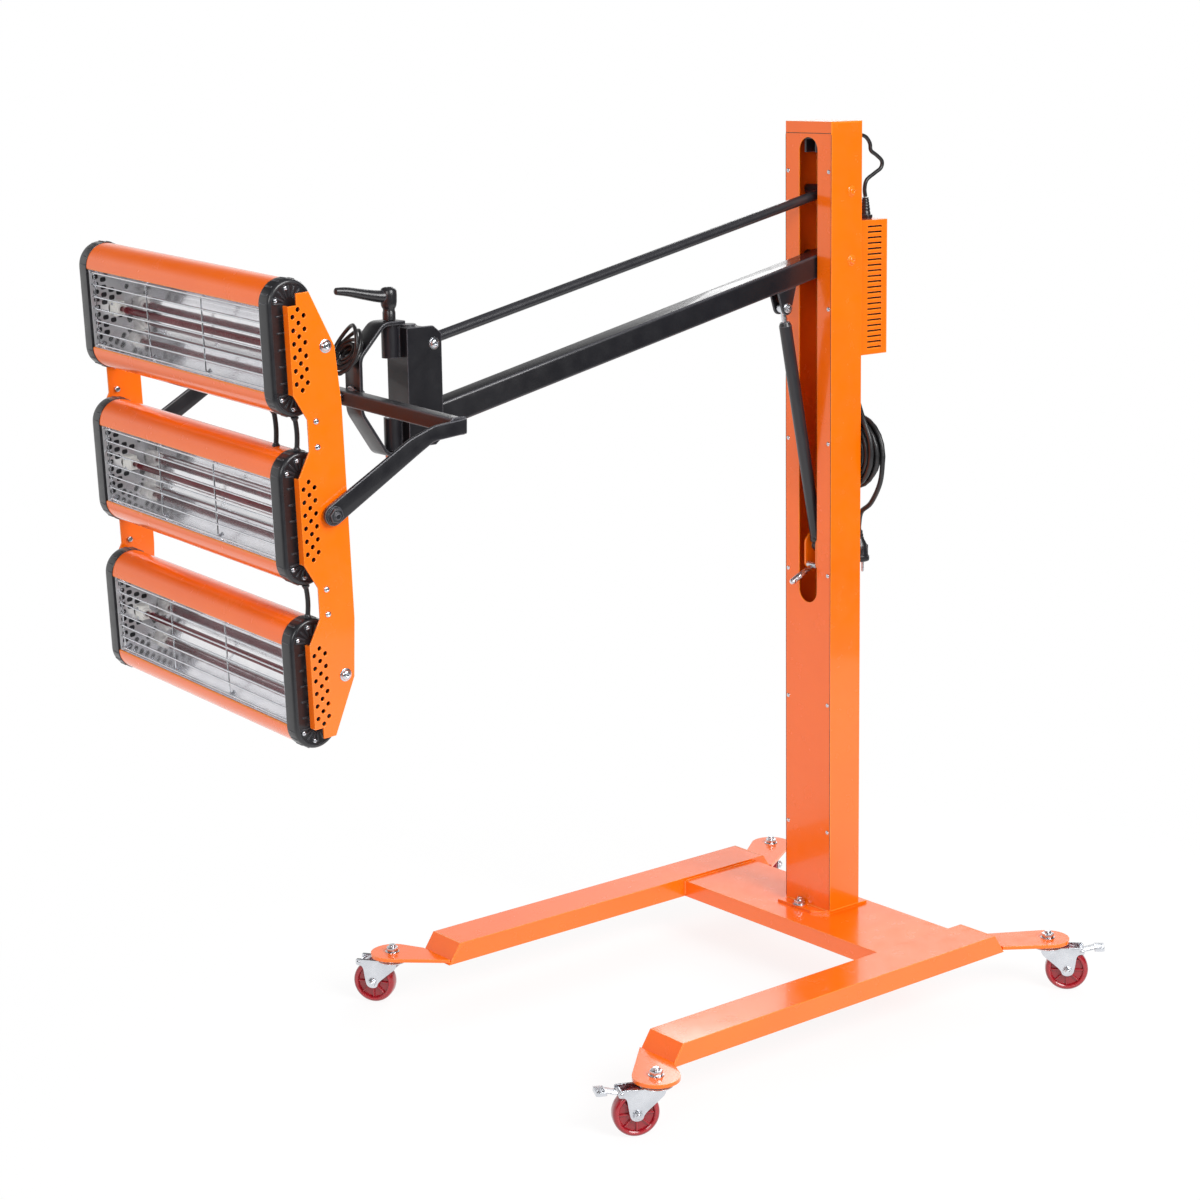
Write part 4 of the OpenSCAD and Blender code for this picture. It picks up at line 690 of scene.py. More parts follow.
def fork(bm):
    lathe(bm, [
        (6.05, 76.6), (19, 76.6), (26, 76.8), (27, 77.6), (27, 78.6), (26, 79.5), (22.4, 79.5), (21.6, 80.2),
        (21.6, 81.4), (22.4, 82.2), (21.8, 82.9), (6.05, 82.9), (6.05, 76.6),
    ], n=56)
    outline = rounded([
        (-12, 79.5), (64, 79.5), (64, 67.5), (51, 67.5), (46.5, 37), (43, 29.5), (34, 26.5), (25, 29.5),
        (23, 38), (-12, 67.5),
    ], [3, 4, 5, 9, 12, 7, 7, 7, 12, 9], 5)
    for side in SIDES:
        slab(bm, outline, -CHEEK, -13.5, mirror(side) @ SIDE, 0.8, 3)
        axle = outward(side, TRAIL, CHEEK, WHEEL_R)
        disc(bm, 8.4, -0.1, 1, axle)
        hexagon(bm, 13, 1, 5, axle, 12)
        lathe(bm, [(4, 4.6), (4, 6.2), (3.2, 7)], axle, 20)
        sweep(bm, [(x, side * 14.2, 78.3) for x in range(-9, 62, 5)], 1.6, 8)
        pin = outward(side, PEDAL_X, CHEEK, PEDAL_Z)
        lathe(bm, [(3.6, 0), (3.6, 0.8), (2.6, 1.5), (0, 1.7)], pin, 20)
    rod(bm, 8, CHEEK, shift(TRAIL, 0, WHEEL_R), 20)
    rod(bm, 5, 15.5, shift(PEDAL_X, 0, PEDAL_Z), 16)


def wheel(bm):
    """Moulded wheel: tyre with side ribs, sunk web with spokes, boss and a dust ring."""
    at = shift(TRAIL, 0, WHEEL_R) @ SIDE
    half = [
        (4.1, -13), (11, -13), (12, -12.2), (12.6, -7), (27, -7), (28, -8), (28.6, -11), (30, -12),
        (33, -12), (34.4, -11.4), (36.4, -9.4), (37.3, -6), (WHEEL_R, -2),
    ]
    lathe(bm, half + [(r, -z) for r, z in reversed(half)] + half[:1], at, 72, ends=False)
    for k in range(8):
        for z in (-8.6, 8.6):
            block(bm, (15.6, 2.6, 3.6), (20, 0, z), at @ turn(45 * k, "Z"), 0.7)
    for z in (-11.966, 11.966):
        sweep(bm, placed(circle(31.4, 60, z), at), 0.5, 6, closed=True)


def wheel_rings(bm):
    for z in (-12.9, 12.9):
        at = shift(TRAIL, 0, WHEEL_R) @ SIDE @ shift(0, 0, z)
        lathe(bm, [(5.2, -0.3), (9.6, -0.3), (10, 0), (9.6, 0.3), (5.2, 0.3), (5.2, -0.3)], at, 36)


def pedal(bm):
    """Brake pedal: bent strip and a ribbed toe."""
    strip = open_bends([(PEDAL_X, PEDAL_Z), (69, 73.9), (82, 78), (98, 78)], 5, 5)
    slab(bm, ribbon(strip, 2.4), -11, 11, SIDE)
    rod(bm, 9, 11, shift(PEDAL_X, 0, PEDAL_Z), 24)
    toe = rounded([(81.4, -13.4), (98, -13.4), (98, 13.4), (81.4, 13.4)], [1.5, 5, 5, 1.5], 5)
    slab(bm, toe, 73.2, 80.2, edge=1, steps=3)
    for k in range(5):
        block(bm, (1.6, 22, 2), (84.6 + 2.7 * k, 0, 80.8), edge=0.6)
    block(bm, (1.8, 24, 8), (97.6, 0, 77.4), edge=0.7)


for word, *_ in CASTORS:
    add_mesh(f"fork_{word}", f"castor_{word}", "zinc", fork, f"castor_fork_{word}")
    add_mesh(f"tyre_{word}", f"wheel_{word}", "wheel_poly", wheel, f"castor_wheel_{word}")
    add_mesh(f"wheel_ring_{word}", f"wheel_{word}", "black_plastic", wheel_rings)
for end in ("front", "rear"):
    add_mesh(f"pedal_lever_{end}", f"pedal_{end}", "zinc", pedal, f"castor_pedal_{end}")


@piece("stand", "zinc", "base_bolts")
def base_bolt_set(bm):
    """Bolts of the foot plate, and the castor stems with their nuts on the tongues."""
    for side in SIDES:
        at = shift(side * 48, -side * 10, PLATE_TOP)
        lathe(bm, [(8.2, -3), (12, -0.1), (12, 1.2), (11.4, 1.6), (0, 1.6)], at, 36)
        hexagon(bm, 17, 1.6, 8.6, at, 17)
        lathe(bm, [(4, -16), (4, 13.4), (3.2, 14.2), (0, 14.2)], at, 20)
        hexagon(bm, 17, -15, -8.2, at)
    for _, x, y, angle in CASTORS:
        at = shift(x, y, TONGUE_TOP)
        lathe(bm, [(12.5, -0.1), (12.5, 1.2), (12.1, 1.5), (0, 1.5)], at, 36)
        hexagon(bm, 19, 1.5, 9, at, angle)
        lathe(bm, [
            (6, -19.4), (6, 9), (6, 11), (5.6, 11.4), (5.6, 11.8), (6, 12.1), (5, 13.2), (0, 13.2),
        ], at, 28)
        lathe(bm, [(11, -19.7), (11, -17.4), (10.4, -16.9), (6, -16.8)], at, 32)


def bead(bm, path, radius=1.7):
    """Weld bead: a run of small overlapping scales."""
    path = [Vector(p) for p in path]
    total = sum((b - a).length for a, b in zip(path, path[1:]))
    count = max(int(total / 1.4), 6)
    points, radii = [], []
    for k in range(count + 1):
        want = total * k / count
        for a, b in zip(path, path[1:]):
            run = (b - a).length
            if want <= run + 1e-6:
                points.append(a.lerp(b, want / run))
                break
            want -= run
        radii.append(radius * (1 if k % 2 else 0.82))
    sweep(bm, points, radii, 8)


@piece("stand", "orange_paint")
def base_welds(bm):
    for side in SIDES:
        inner = side * 256
        for x in (109, -69):
            bead(bm, [(x, inner - side * 0.8, 86), (x, inner - side * 0.8, BOX_TOP)])
        bead(bm, [(x, inner - side * 0.6, BOX_TOP + 0.2) for x in (-66, 106)])


# Column: rivets of the cover, pivot bolts, dark strips of painted shadow in the seams, the spring's anchor
# and the lever's grip

COL_X, COL_Y, COL_TOP = 37, 56, 1525
COVER_TOP = COL_TOP - 20
SCREW_PITCH = (COVER_TOP - PLATE_TOP - 65 - 147) / 5
ANCHOR_LOW, ANCHOR_HIGH = 732, 802
GUIDE_LOW, GUIDE_HIGH = 1472, 1499


@piece("stand", "zinc", "cover_screws")
def cover_rivets(bm):
    for side in SIDES:
        for k in range(6):
            at = shift(COL_X, side * 50, COVER_TOP - 65 - k * SCREW_PITCH) @ ALONG
            lathe(bm, [
                (3.7, -0.4), (3.7, 0.5), (3.2, 1.1), (2, 1.5), (0.9, 1.5), (0.8, 0.9), (0, 0.9),
            ], at, 28)


@piece("stand", "orange_paint", "pivot_bolts")
def pivot_heads(bm):
    for z in (PIVOT_Z, PIVOT_Z + LINK_RISE):
        rod(bm, 12, 56.5, shift(PIVOT_X, 0, z))
        for side in SIDES:
            lathe(bm, [
                (9.6, -0.2), (9.6, 0.8), (9.1, 1.1), (7, 1.1), (6.9, 2.6), (6.2, 3.9), (4.6, 4.7),
                (2.6, 5), (2.2, 5), (2.1, 3.4), (0, 3.4),
            ], outward(side, PIVOT_X, COL_Y, z))


@piece("stand", "orange_paint")
def column_welds(bm):
    z = PLATE_TOP + 0.6
    for side in SIDES:
        bead(bm, [(-33, side * (COL_Y + 0.6), z), (35, side * (COL_Y + 0.6), z)])
    bead(bm, [(COL_X + 0.6, -52, z), (COL_X + 0.6, 52, z)])


@piece("stand", "orange_paint", "column_brackets")
def spring_anchor(bm):
    """Channel that holds the gas spring's foot and the release lever's pin."""
    low, high = ANCHOR_LOW, ANCHOR_HIGH
    cheek = [(-33.8, low), (18, low), (31, 745), (31, 790), (19, high), (-33.8, high)]
    for side in SIDES:
        slab(bm, rounded(cheek, [2, 5, 5, 5, 5, 2]), -16, -12, mirror(side) @ SIDE)
        at = outward(side, SPRING_LOW[0], 16, SPRING_LOW[1])
        hexagon(bm, 17, 0.1, 3.2, at, 10)
        lathe(bm, [(4, -3.9), (4, 4.4), (3.4, 5), (0, 5)], at, 20)
        bead(bm, [(-30, side * 16.6, low + 6), (-30, side * 16.6, high - 6)], 1.3)
    slab(bm, rounded([(-52.8, low), (52.8, low), (52.8, high), (-52.8, high)], 4), -33.9, -30, FRONT)


@piece("stand", "black_paint")
def slot_guide(bm):
    """Guide box behind the top of the slot, with the lead's clip."""
    for side in SIDES:
        block(bm, (66, 4, GUIDE_HIGH - GUIDE_LOW), (-1, side * 13, (GUIDE_HIGH + GUIDE_LOW) / 2))
    block(bm, (66, 30, 4), (-1, 0, GUIDE_HIGH - 2))
    lathe(bm, [(6, 0), (6, 2), (4.6, 4), (0, 4)], outward(1, 10, 15, 1484), 24)


# Painted shadow: a dark strip laid where the gap between cover, channel and cap is only shade.
@piece("stand", "cord_rubber")
def cover_shadow_strips(bm):
    """Thin dark strips that paint the shadow in the gap round the front cover and under the cap's lip."""
    for side in SIDES:
        heights = [*range(PLATE_TOP + 4, COVER_TOP - 2, 60), COVER_TOP - 2]
        sweep(bm, [(COL_X, side * COL_Y, z) for z in heights], 0.45, 8)
    sweep(bm, [(COL_X + 0.1, y, COVER_TOP - 0.1) for y in range(1 - COL_Y, COL_Y, 10)], 0.45, 8)


@piece("slot_lever", "zinc", "slot_lever")
def release_lever(bm):
    rod(bm, 5, 15.8, n=20)
    rod(bm, 11, 11.4, n=32)
    slab(bm, rounded([(0, -4), (38, -6), (38, 6), (0, 4)], 1.5, 3), -2.4, 2.4)
    grip = [(5.5 - 0.45 * (k % 2), 38 + k) for k in range(14)]
    lathe(bm, [
        (4.6, 34), (5.4, 35), (5.5, 37), *grip, (5.5, 53), (5.3, 55.6), (4.3, 57.8), (2.6, 59), (0, 59.3),
    ], ALONG, 32)


# Control box at the back: louvres, dial, switches, glands, hook

CTRL_Z, CTRL_H, CTRL_BACK = 1118, 235, -104
CTRL_TOP = CTRL_Z + CTRL_H
CTRL_MID = CTRL_Z + CTRL_H / 2
OUT = CTRL_BACK - 2
DIAL_Z = CTRL_Z + 0.766 * CTRL_H
ROCKER_Z = CTRL_Z + 0.404 * CTRL_H
ROCKER_PITCH = CTRL_H / 8
ROCKERS = (("top", 1), ("middle", 0), ("bottom", -1))
GLAND_X = -COL_X - 33.5
LOUVRES = 23
HOOK_Z = COIL_AT.z + COIL_R - COIL_TURNS * COIL_STEP - CORD_D / 2 - 4.3


@piece("stand", "orange_paint")
def louvre_fins(bm):
    step = (CTRL_H - 24) / (LOUVRES - 1)
    for side in SIDES:
        for k in range(LOUVRES):
            z = CTRL_Z + 12 + step * k
            fin = [(47.6, z - 0.9), (48, z - 1.9), (45.6, z - 5.4), (44.9, z - 4.9)]
            loft(bm, [[Vector((x, side * y, w)) for y, w in fin] for x in (-92.6, -58.4)])


# Painted shade: dark sheets just inside the louvres, so that the vents look dark inside.
@piece("stand", "black_plastic")
def vent_shade_sheets(bm):
    for side in SIDES:
        block(bm, (48, 1, CTRL_H - 12), (-74.5, side * 44, CTRL_MID))


@piece("stand", "zinc")
def box_screws(bm):
    for y in (-43, 43):
        for z in (CTRL_Z + 9, CTRL_MID, CTRL_TOP - 9):
            button(bm, 3.6, 2, shift(OUT, y, z) @ BACKWARD)


@piece("timer_dial", "black_plastic", "timer_dial")
def dial_knob(bm):
    """Turned skirt and a grip with 18 flutes."""
    at = shift(OUT - 0.3, 0, DIAL_Z) @ BACKWARD
    waves = [(x, y, cos(18 * tau * k / 72)) for k, (x, y, _) in enumerate(circle(1, 72))]
    loft(bm, [
        placed([((r + depth * wave) * x, (r + depth * wave) * y, z) for x, y, wave in waves], at)
        for r, z, depth in (
            (20, 0, 0), (20, 1.6, 0), (18.8, 2.6, 0), (16.2, 3.2, 0.3), (15.6, 4.4, 0.7), (15.2, 12.6, 0.7),
            (14.4, 13.7, 0.4), (12.4, 14, 0),
        )
    ])
    lathe(bm, [(4, -21), (4, 1)], at, 24)


@piece("timer_dial", "mark")
def dial_pointer(bm):
    block(bm, (0.7, 1.5, 9.5), (OUT - 14.3, 0, DIAL_Z + 8.6), edge=0.2)
    block(bm, (0.7, 1.5, 3), (OUT - 1.9, 0, DIAL_Z + 18.2), edge=0.2)


@piece("stand", "mark")
def dial_scale(bm):
    """Minute marks round the dial, and the line and ring beside each switch."""
    for k in range(31):
        long = 3.4 if k % 5 == 0 else 1.8
        at = shift(OUT, 0, DIAL_Z) @ turn(-10 * k, "X") @ shift(0, 0, 22.2 + long / 2)
        block(bm, (0.3, 0.7, long), (0, 0, 0), at, 0.1)
    for _, k in ROCKERS:
        at = shift(OUT, -17.2, ROCKER_Z + k * ROCKER_PITCH)
        block(bm, (0.3, 0.8, 4.4), (0, 0, 4), at, 0.1)
        ring = [(0, v, w - 5) for v, w, _ in circle(2, 20)]
        sweep(bm, placed(ring, at), 0.35, 6, closed=True)


for k in range(7):
    name = f"dial_number_{k}"
    data = bpy.data.curves.new(name, "FONT")
    data.body = str(10 * k)
    data.size = 0.0052
    data.extrude = 0.00012
    data.align_x = "CENTER"
    data.align_y = "CENTER"
    around = radians(50 * k)
    at = MM @ shift(OUT - 0.1, 29.5 * sin(around), DIAL_Z + 29.5 * cos(around))
    mesh = baked(name, data, Matrix.Translation(at.translation) @ turn(-90, "Z") @ SIDE)
    finish_piece(bpy.data.objects.new(name, mesh), "stand", "mark")


def rocker_key(bm):
    x = CTRL_BACK - 1
    curve = [(x - 4.6, 0, -8.6), (x - 3.9, 0, -4), (x - 3.4, 0, 0), (x - 4.2, 0, 4), (x - 5.6, 0, 8.6)]
    outline = [(p.x, p.z) for p in smooth(curve, 3)]
    slab(bm, outline + [(x, 8.7), (x + 9.6, 4.3), (x + 9.6, -4.3), (x, -8.7)], -10.6, 10.6, SIDE, 0.7)


def rocker_mark(bm):
    block(bm, (0.4, 1, 4), (CTRL_BACK - 6.1, 0, 5.3), edge=0.1)


for word, k in ROCKERS:
    body = f"rocker_{word}"
    FRAMES[body] = MM @ shift(0, 0, ROCKER_Z + k * ROCKER_PITCH)
    look = "red_lens" if word == "top" else "black_plastic"
    add_mesh(f"rocker_key_{word}", body, look, rocker_key, body)
    add_mesh(f"rocker_mark_{word}", body, "mark", rocker_mark)


@piece("stand", "black_plastic")
def rocker_frames(bm):
    for _, k in ROCKERS:
        z = ROCKER_Z + k * ROCKER_PITCH
        sweep(bm, [(OUT - 0.2, p.x, z + p.y) for p in oblong(24, 20, 2)], 1, 8, closed=True)


def relief(bm, path, wide, narrow):
    """Moulded strain relief: a taper in rings along the lead."""
    points = smooth(path, 6)
    last = len(points) - 1
    sweep(bm, points, [
        wide + (narrow - wide) * k / last - (0.75 if k % 3 == 1 and 1 < k < last - 1 else 0)
        for k in range(last + 1)
    ], 24)


@piece("stand", "black_plastic", "cable_glands")
def gland_set(bm):
    at = shift(GLAND_X, 0, CTRL_Z)
    lathe(bm, [(6.5, 5.4), (6.5, 0), (10.9, -0.2), (10.9, -1), (6.6, -1)], at, 32)
    hexagon(bm, 22, -7, -1, at, 8)
    lathe(bm, [(9.8, -6.8), (10, -8), (9.7, -10.5), (8.8, -13), (8, -14)], at, 36)
    relief(bm, [(GLAND_X, 0, 1105), FEED[0], FEED[1], (-69.2, 2.6, 1079), (-66.8, 6.6, 1066)], 8, 5.2)
    at = shift(HARNESS[-1][0], HARNESS[-1][1], CTRL_TOP)
    lathe(bm, [(6.5, -5.6), (6.5, 0), (11.2, 0), (11.2, 0.9), (6.6, 1)], at, 32)
    hexagon(bm, 22, 1, 7, at, 8)
    relief(bm, placed([(0, 0, z) for z in (6, 18, 28, 37)], at), 9.6, 5.6)


@piece("stand", "zinc", "cord_hook")
def coil_hook(bm):
    path = open_bends([(-38, HOOK_Z), (-95, HOOK_Z), (-95, HOOK_Z + 20)], 7, 6)
    sweep(bm, [(x, COIL_AT.y, z) for x, z in path], 4, 16)
    lathe(bm, [(4, 3.6), (5, 2.2), (11, 1.9), (11, 0)], shift(-COL_X, COIL_AT.y, HOOK_Z) @ BACKWARD, 36)
    lathe(bm, [(4, 19.4), (3.6, 20.4), (2.2, 21), (0, 21.2)], shift(-95, COIL_AT.y, HOOK_Z), 16)


wire_piece("harness_lead", "stand", "cord_rubber", [smooth(HARNESS, 6)], 3.5, "rear_harness")

# Lamp head: caps, reflectors, guards, tubes and holders (u forward, v sideways, w up)

LOBE_R, OPEN_HALF, REACH = 34, 60, 240
CAP_Y, CAP_LEN = REACH + 1, 24
CAP_OUT = CAP_Y + CAP_LEN
SKIRT_R, RIB_R = 35.1, 34.8
TUBE_U, TUBE_W = -40, -4
PLATE_OUT = 281
BOLT_U, BOLT_W = -75.5, 234
TROUGH_HALF = [(-3, 59.2), (-5.5, 57.6), (-50, 34), (-60, 18)]
TROUGH = TROUGH_HALF + [(u, -w) for u, w in reversed(TROUGH_HALF)]
END_HOLES = [
    (-12.5 - 12.6 * col, (row - 4) * 11.4 + (5.7 if col % 2 else 0)) for col in range(5) for row in range(9)
]


def stadium(r, v, row):
    """Section of a cassette's end: two lobes joined by straight sides."""
    top = arc((-LOBE_R, OPEN_HALF), r, 0, 180, 24)
    low = arc((-LOBE_R, -OPEN_HALF), r, 180, 360, 24)
    return [(u, v, w + row) for u, w in top + low]


@piece("lamp_head", "black_plastic", "end_caps")
def lamp_caps(bm):
    """Moulded end caps: skirt, rim, sunk outer face, cooling ribs on the lobes and mounting studs."""
    face = CAP_OUT - 1.4
    for row, side in HEAD_ENDS:
        loft(bm, [placed(stadium(r, v, row), mirror(side)) for r, v in (
            (33, CAP_Y), (34.5, CAP_Y), (SKIRT_R, CAP_Y + 0.6), (SKIRT_R, CAP_OUT - 6),
            (34.5, CAP_OUT - 3), (33, CAP_OUT - 0.8), (31.4, CAP_OUT), (29.6, CAP_OUT),
            (28.9, CAP_OUT - 1.6), (27, CAP_OUT - 2),
        )])
        for lobe in SIDES:
            centre = mirror(side) @ shift(-LOBE_R, 0, row + lobe * OPEN_HALF)
            for k in range(9):
                at = centre @ turn(-lobe * (8 + 20.5 * k), "Y")
                block(bm, (2.2, 15, 2.2), (RIB_R, CAP_Y + 10.5, 0), at, 0.7)
                block(bm, (15, 2.4, 2), (18, face, 0), at, 0.6)
            lathe(bm, [(6, 0), (6, 13.4), (5.4, 14)], outward(side, -60, CAP_OUT - 1, row + lobe * 40), 24)
        for w in range(-46, 47, 23):
            block(bm, (44, 2.2, 2.4), (-LOBE_R, face, row + w), mirror(side), 0.6)


@piece("lamp_head", "zinc")
def cap_screws(bm):
    for row, side in HEAD_ENDS:
        for lobe in SIDES:
            for a in (20, 78):
                u = -LOBE_R + 23.5 * cos(radians(a))
                w = row + lobe * (OPEN_HALF + 23.5 * sin(radians(a)))
                button(bm, 3.4, 2, outward(side, u, CAP_OUT - 1.2, w))


@piece("lamp_head", "reflector", "reflectors", sharp=20)
def reflector_troughs(bm):
    sheet = ribbon(open_bends(TROUGH, 4), 0.9)
    for row in ROWS:
        loft(bm, [[Vector((u, v, w + row)) for u, w in sheet] for v in (-REACH - 0.6, REACH + 0.6)])


def in_trough(u, w, edge):
    """Whether a hole centred there fits inside the end plate."""
    if u < -60 + edge or u > -4 - edge:
        return False
    half = 59 - (-4 - u) * 25 / 46 if u > -50 else 34 - (-50 - u) * 1.6
    return abs(w) < half - edge * 1.35


def end_plate_outlines():
    """Edge of an end plate, the tube's hole, and rows of small oval holes round it."""
    yield TROUGH
    yield arc((TUBE_U, TUBE_W), 9.5, 0, 345, 23)
    for u, w in END_HOLES:
        if in_trough(u, w, 5.2) and dist((u, w), (TUBE_U, TUBE_W)) > 15.5:
            yield [(u + p.x, w + p.y) for p in oblong(9.8, 7.2, 3.2)]


for index, row in enumerate(ROWS):
    for side, word in ((1, "near"), (-1, "far")):
        cutout(
            f"reflector_end_{index}_{word}", "lamp_head", "end_sheet", end_plate_outlines(), 0.9,
            shift(0, side * (REACH + 0.4), row) @ SIDE,
        )


def hooked(hook, flip, bend_steps, steps):
    """Wire with a bent hook at one end and its mirror image at the other."""
    start = smooth(hook, bend_steps)
    stop = placed(start, flip)[::-1]
    return start[:-1] + [start[-1].lerp(stop[0], k / steps) for k in range(steps + 1)] + stop[1:]


def guard_paths():
    """Long wires hooked into the end plates, and cross wires under them hooked behind the lips."""
    for row in ROWS:
        at = shift(0, 0, row)
        for w in range(-54, 55, 18):
            hook = [(-13, -238.2, w), (-8.5, -238.4, w), (-4.8, -236.5, w), (-4, -230, w)]
            yield placed(hooked(hook, mirror(-1), 4, 12), at)
        for v in range(-231, 232, 154):
            hook = [(-14, v, -50.5), (-8.2, v, -54.4), (-6.4, v, -50)]
            yield placed(hooked(hook, Matrix.Diagonal((1, 1, -1, 1)), 5, 8), at)


wire_piece("guard_wires", "lamp_head", "wire", guard_paths(), 1.25, "wire_guards")


@piece("lamp_head", "orange_paint")
def housing_lips(bm):
    """Rolled lips along the housings' openings."""
    for row in ROWS:
        for side in SIDES:
            sweep(bm, [(-1.9, v, row + side * 60.2) for v in range(-REACH, REACH + 1, 60)], 1.8, 12)


@piece("lamp_head", "quartz", "quartz_tubes")
def quartz_lamps(bm):
    """Tubes with drawn-in, pinched ends."""
    end = [(2, 0), (3.6, 1), (3.8, 14), (5.2, 19), (5.5, 22)]
    middle = [(5.5, z) for z in range(40, 410, 20)]
    for row in ROWS:
        at = outward(1, TUBE_U, -220, row + TUBE_W)
        lathe(bm, end + middle + [(r, 440 - z) for r, z in reversed(end)], at, 28)


def spirals():
    turns, steps = 110, 7
    for row in ROWS:
        yield [
            Vector((TUBE_U + 1.9 * cos(tau * k / steps), -190 + 380 * k / (turns * steps),
                    row + TUBE_W + 1.9 * sin(tau * k / steps)))
            for k in range(turns * steps + 1)
        ]


wire_piece("filaments", "lamp_head", "filament", spirals(), 0.45)


@piece("lamp_head", "ceramic", "ceramic_holders")
def lamp_sockets(bm):
    """Glazed ceramic ends: body, collar round the tube and ribs."""
    for row, side in HEAD_ENDS:
        at = mirror(side) @ shift(TUBE_U, 230, row + TUBE_W)
        block(bm, (16, 19, 22), (0, 0.3, 0), at, 1.6)
        collar = at @ shift(0, -9, 0) @ SIDE
        lathe(bm, [(4.3, 0), (8.2, 0), (8.6, 1), (8.6, 6), (8, 7), (4.6, 7), (4.3, 0)], collar, 32)
        for z in (-6, 0, 6):
            block(bm, (17.4, 15, 2.2), (0, 0.8, z), at)


@piece("lamp_head", "zinc")
def socket_screws(bm):
    for row, side in HEAD_ENDS:
        for z in (-7.5, 7.5):
            button(bm, 2.4, 1.6, shift(-31.4, side * 229, row + TUBE_W + z) @ ALONG)


@piece("lamp_head", "zinc", "plate_fasteners")
def plate_bolts(bm):
    for side in SIDES:
        for end in SIDES:
            at = outward(side, BOLT_U, PLATE_OUT, end * BOLT_W - HEAD_LIFT)
            lathe(bm, [(9.5, -0.2), (9.5, 0.9), (8.8, 1.3), (0, 1.3)], at, 32)
            button(bm, 7.2, 4.2, at @ shift(0, 0, 1.2))
            lathe(bm, [(4, -3), (4, 0)], at, 16)
            for gap in (18, -18):
                at = outward(side, -53, PLATE_OUT, end * ROW_PITCH / 2 + gap)
                button(bm, 4.5, 2.6, at)
                hexagon(bm, 8, -7, -3, at)
                lathe(bm, [(2.5, -7), (2.5, 0)], at, 12)


# Boom, link, yoke, bow, hinge and clamp lever

TUBE_END = 18
ARM_IN, ARM_OUT = 285, 291
TIP = Vector((TILT_X, -TILT_DROP))
ELBOW = Vector((BAR_X + 46, 0))


@piece("boom", "black_paint", "boom")
def boom_tube(bm):
    """Square tube with a boss at each end and two welded clevis ears."""
    slab(bm, oblong(40, 40, 4.5, 5), 0, BOOM_LEN + TUBE_END, ALONG, 0.8)
    rod(bm, 26, 52.5, n=40)
    rod(bm, 26, 21.7, shift(BOOM_LEN, 0, 0), 40)
    near, far = CLEVIS_ALONG - 30, CLEVIS_ALONG + 15
    ear = [(near, -19), (far, -19)] + arc((CLEVIS_ALONG, -CLEVIS_DROP), 12, 0, -180, 14)
    for low, high in ((8, 12), (-12, -8)):
        slab(bm, ear, low, high, SIDE, 0.7)
    for side in SIDES:
        sweep(bm, [(x, side * 12.2, -20.4) for x in range(97, 140, 4)], 1.5, 8)


@piece("upper_link", "black_paint", "upper_link")
def link_tube(bm):
    lathe(bm, [(7.6, -0.2), (8.5, 0.8), (8.5, BOOM_LEN + 11), (7.6, BOOM_LEN + 12)], ALONG, 32)
    rod(bm, 19, 52.5, n=36)
    rod(bm, 19, 21.7, shift(BOOM_LEN, 0, 0), 36)


@piece("boom", "zinc", "clevis_pin")
def clevis_bolt(bm):
    rod(bm, 8, 12, shift(CLEVIS_ALONG, 0, -CLEVIS_DROP), 20)
    for side in SIDES:
        face = outward(side, CLEVIS_ALONG, 12, -CLEVIS_DROP)
        lathe(bm, [(8.4, -0.1), (8.4, 1.1), (7.9, 1.4), (0, 1.4)], face, 28)
        hexagon(bm, 13, 1.3, 5.2, face, 20)
        lathe(bm, [(4, 4.5), (4, 6.4), (3.3, 7)], face, 20)


def arm_outline():
    """Cranked arm from the crossbar to the tilt bolt, round at its tip."""
    along = (TIP - ELBOW).normalized()
    left = Vector((-along.y, along.x))
    knee = ELBOW + along * 40
    lean = degrees(atan2(left.y, left.x))
    outline = rounded([
        (BAR_X - 11, -11), (ELBOW.x, -16), knee - left * 13.5, TIP - left * 15, TIP + left * 15,
        knee + left * 13.5, (ELBOW.x, 6), (BAR_X - 11, 11),
    ], [2, 9, 9, 0, 0, 9, 9, 2], 5)[:-1]
    cut = [k for k, p in enumerate(outline) if (p - TIP).length < 15.5]
    return outline[:cut[0]] + arc(TIP, 15, lean - 180, lean, 16) + outline[cut[-1] + 1:]


@piece("yoke", "black_paint", "yoke")
def yoke_frame(bm):
    slab(bm, oblong(22, 22, 2.6, 5), -ARM_IN, ARM_IN, shift(BAR_X, HEAD_Y, 0) @ SIDE, 0.5)
    for low, high in ((ARM_IN, ARM_OUT), (-ARM_OUT, -ARM_IN)):
        slab(bm, arm_outline(), low, high, shift(0, HEAD_Y, 0) @ SIDE, 0.9, 3)
    for side in SIDES:
        loop = [(BAR_X + p.x, side * (ARM_IN - 0.4) + HEAD_Y, p.y) for p in oblong(23.4, 23.4, 3, 5)]
        sweep(bm, loop, 1.7, 8, closed=True)


@piece("yoke", "zinc", "yoke_bolts")
def yoke_bolt_set(bm):
    """Roll bolt through the bow and the crossbar, with its spacer and nuts."""
    back = BOW_X - 14.3
    long = BAR_X + 16 - back
    run = shift(back, 0, 0) @ ALONG
    lathe(bm, [(6.4, -3), (7, -2), (7, long), (6.2, long + 1)], run, 28)
    hexagon(bm, 22, 0, 8, run)
    lathe(bm, [(15, 14.6), (15, 17.6), (14.4, 18.2), (0, 18.2)], run, 40)
    hexagon(bm, 22, long - 5, long, run)


@piece("yoke", "black_paint")
def tilt_bolt_set(bm):
    for side in SIDES:
        at = shift(TILT_X, HEAD_Y, -TILT_DROP) @ mirror(side) @ shift(0, ARM_OUT, 0) @ SIDE
        lathe(bm, [(6, 0), (6, 16), (5.2, 17)], at, 24)
        disc(bm, 13, -1.6, -0.2, at, 36)
        hexagon(bm, 19, -7, -1.6, at, 10)
        lathe(bm, [(5, -6.8), (5, -9), (4.2, -9.8), (0, -9.8)], at, 20)
        disc(bm, 11, 6.1, 9.6, at, 36)
        hexagon(bm, 19, 13, 17, at)


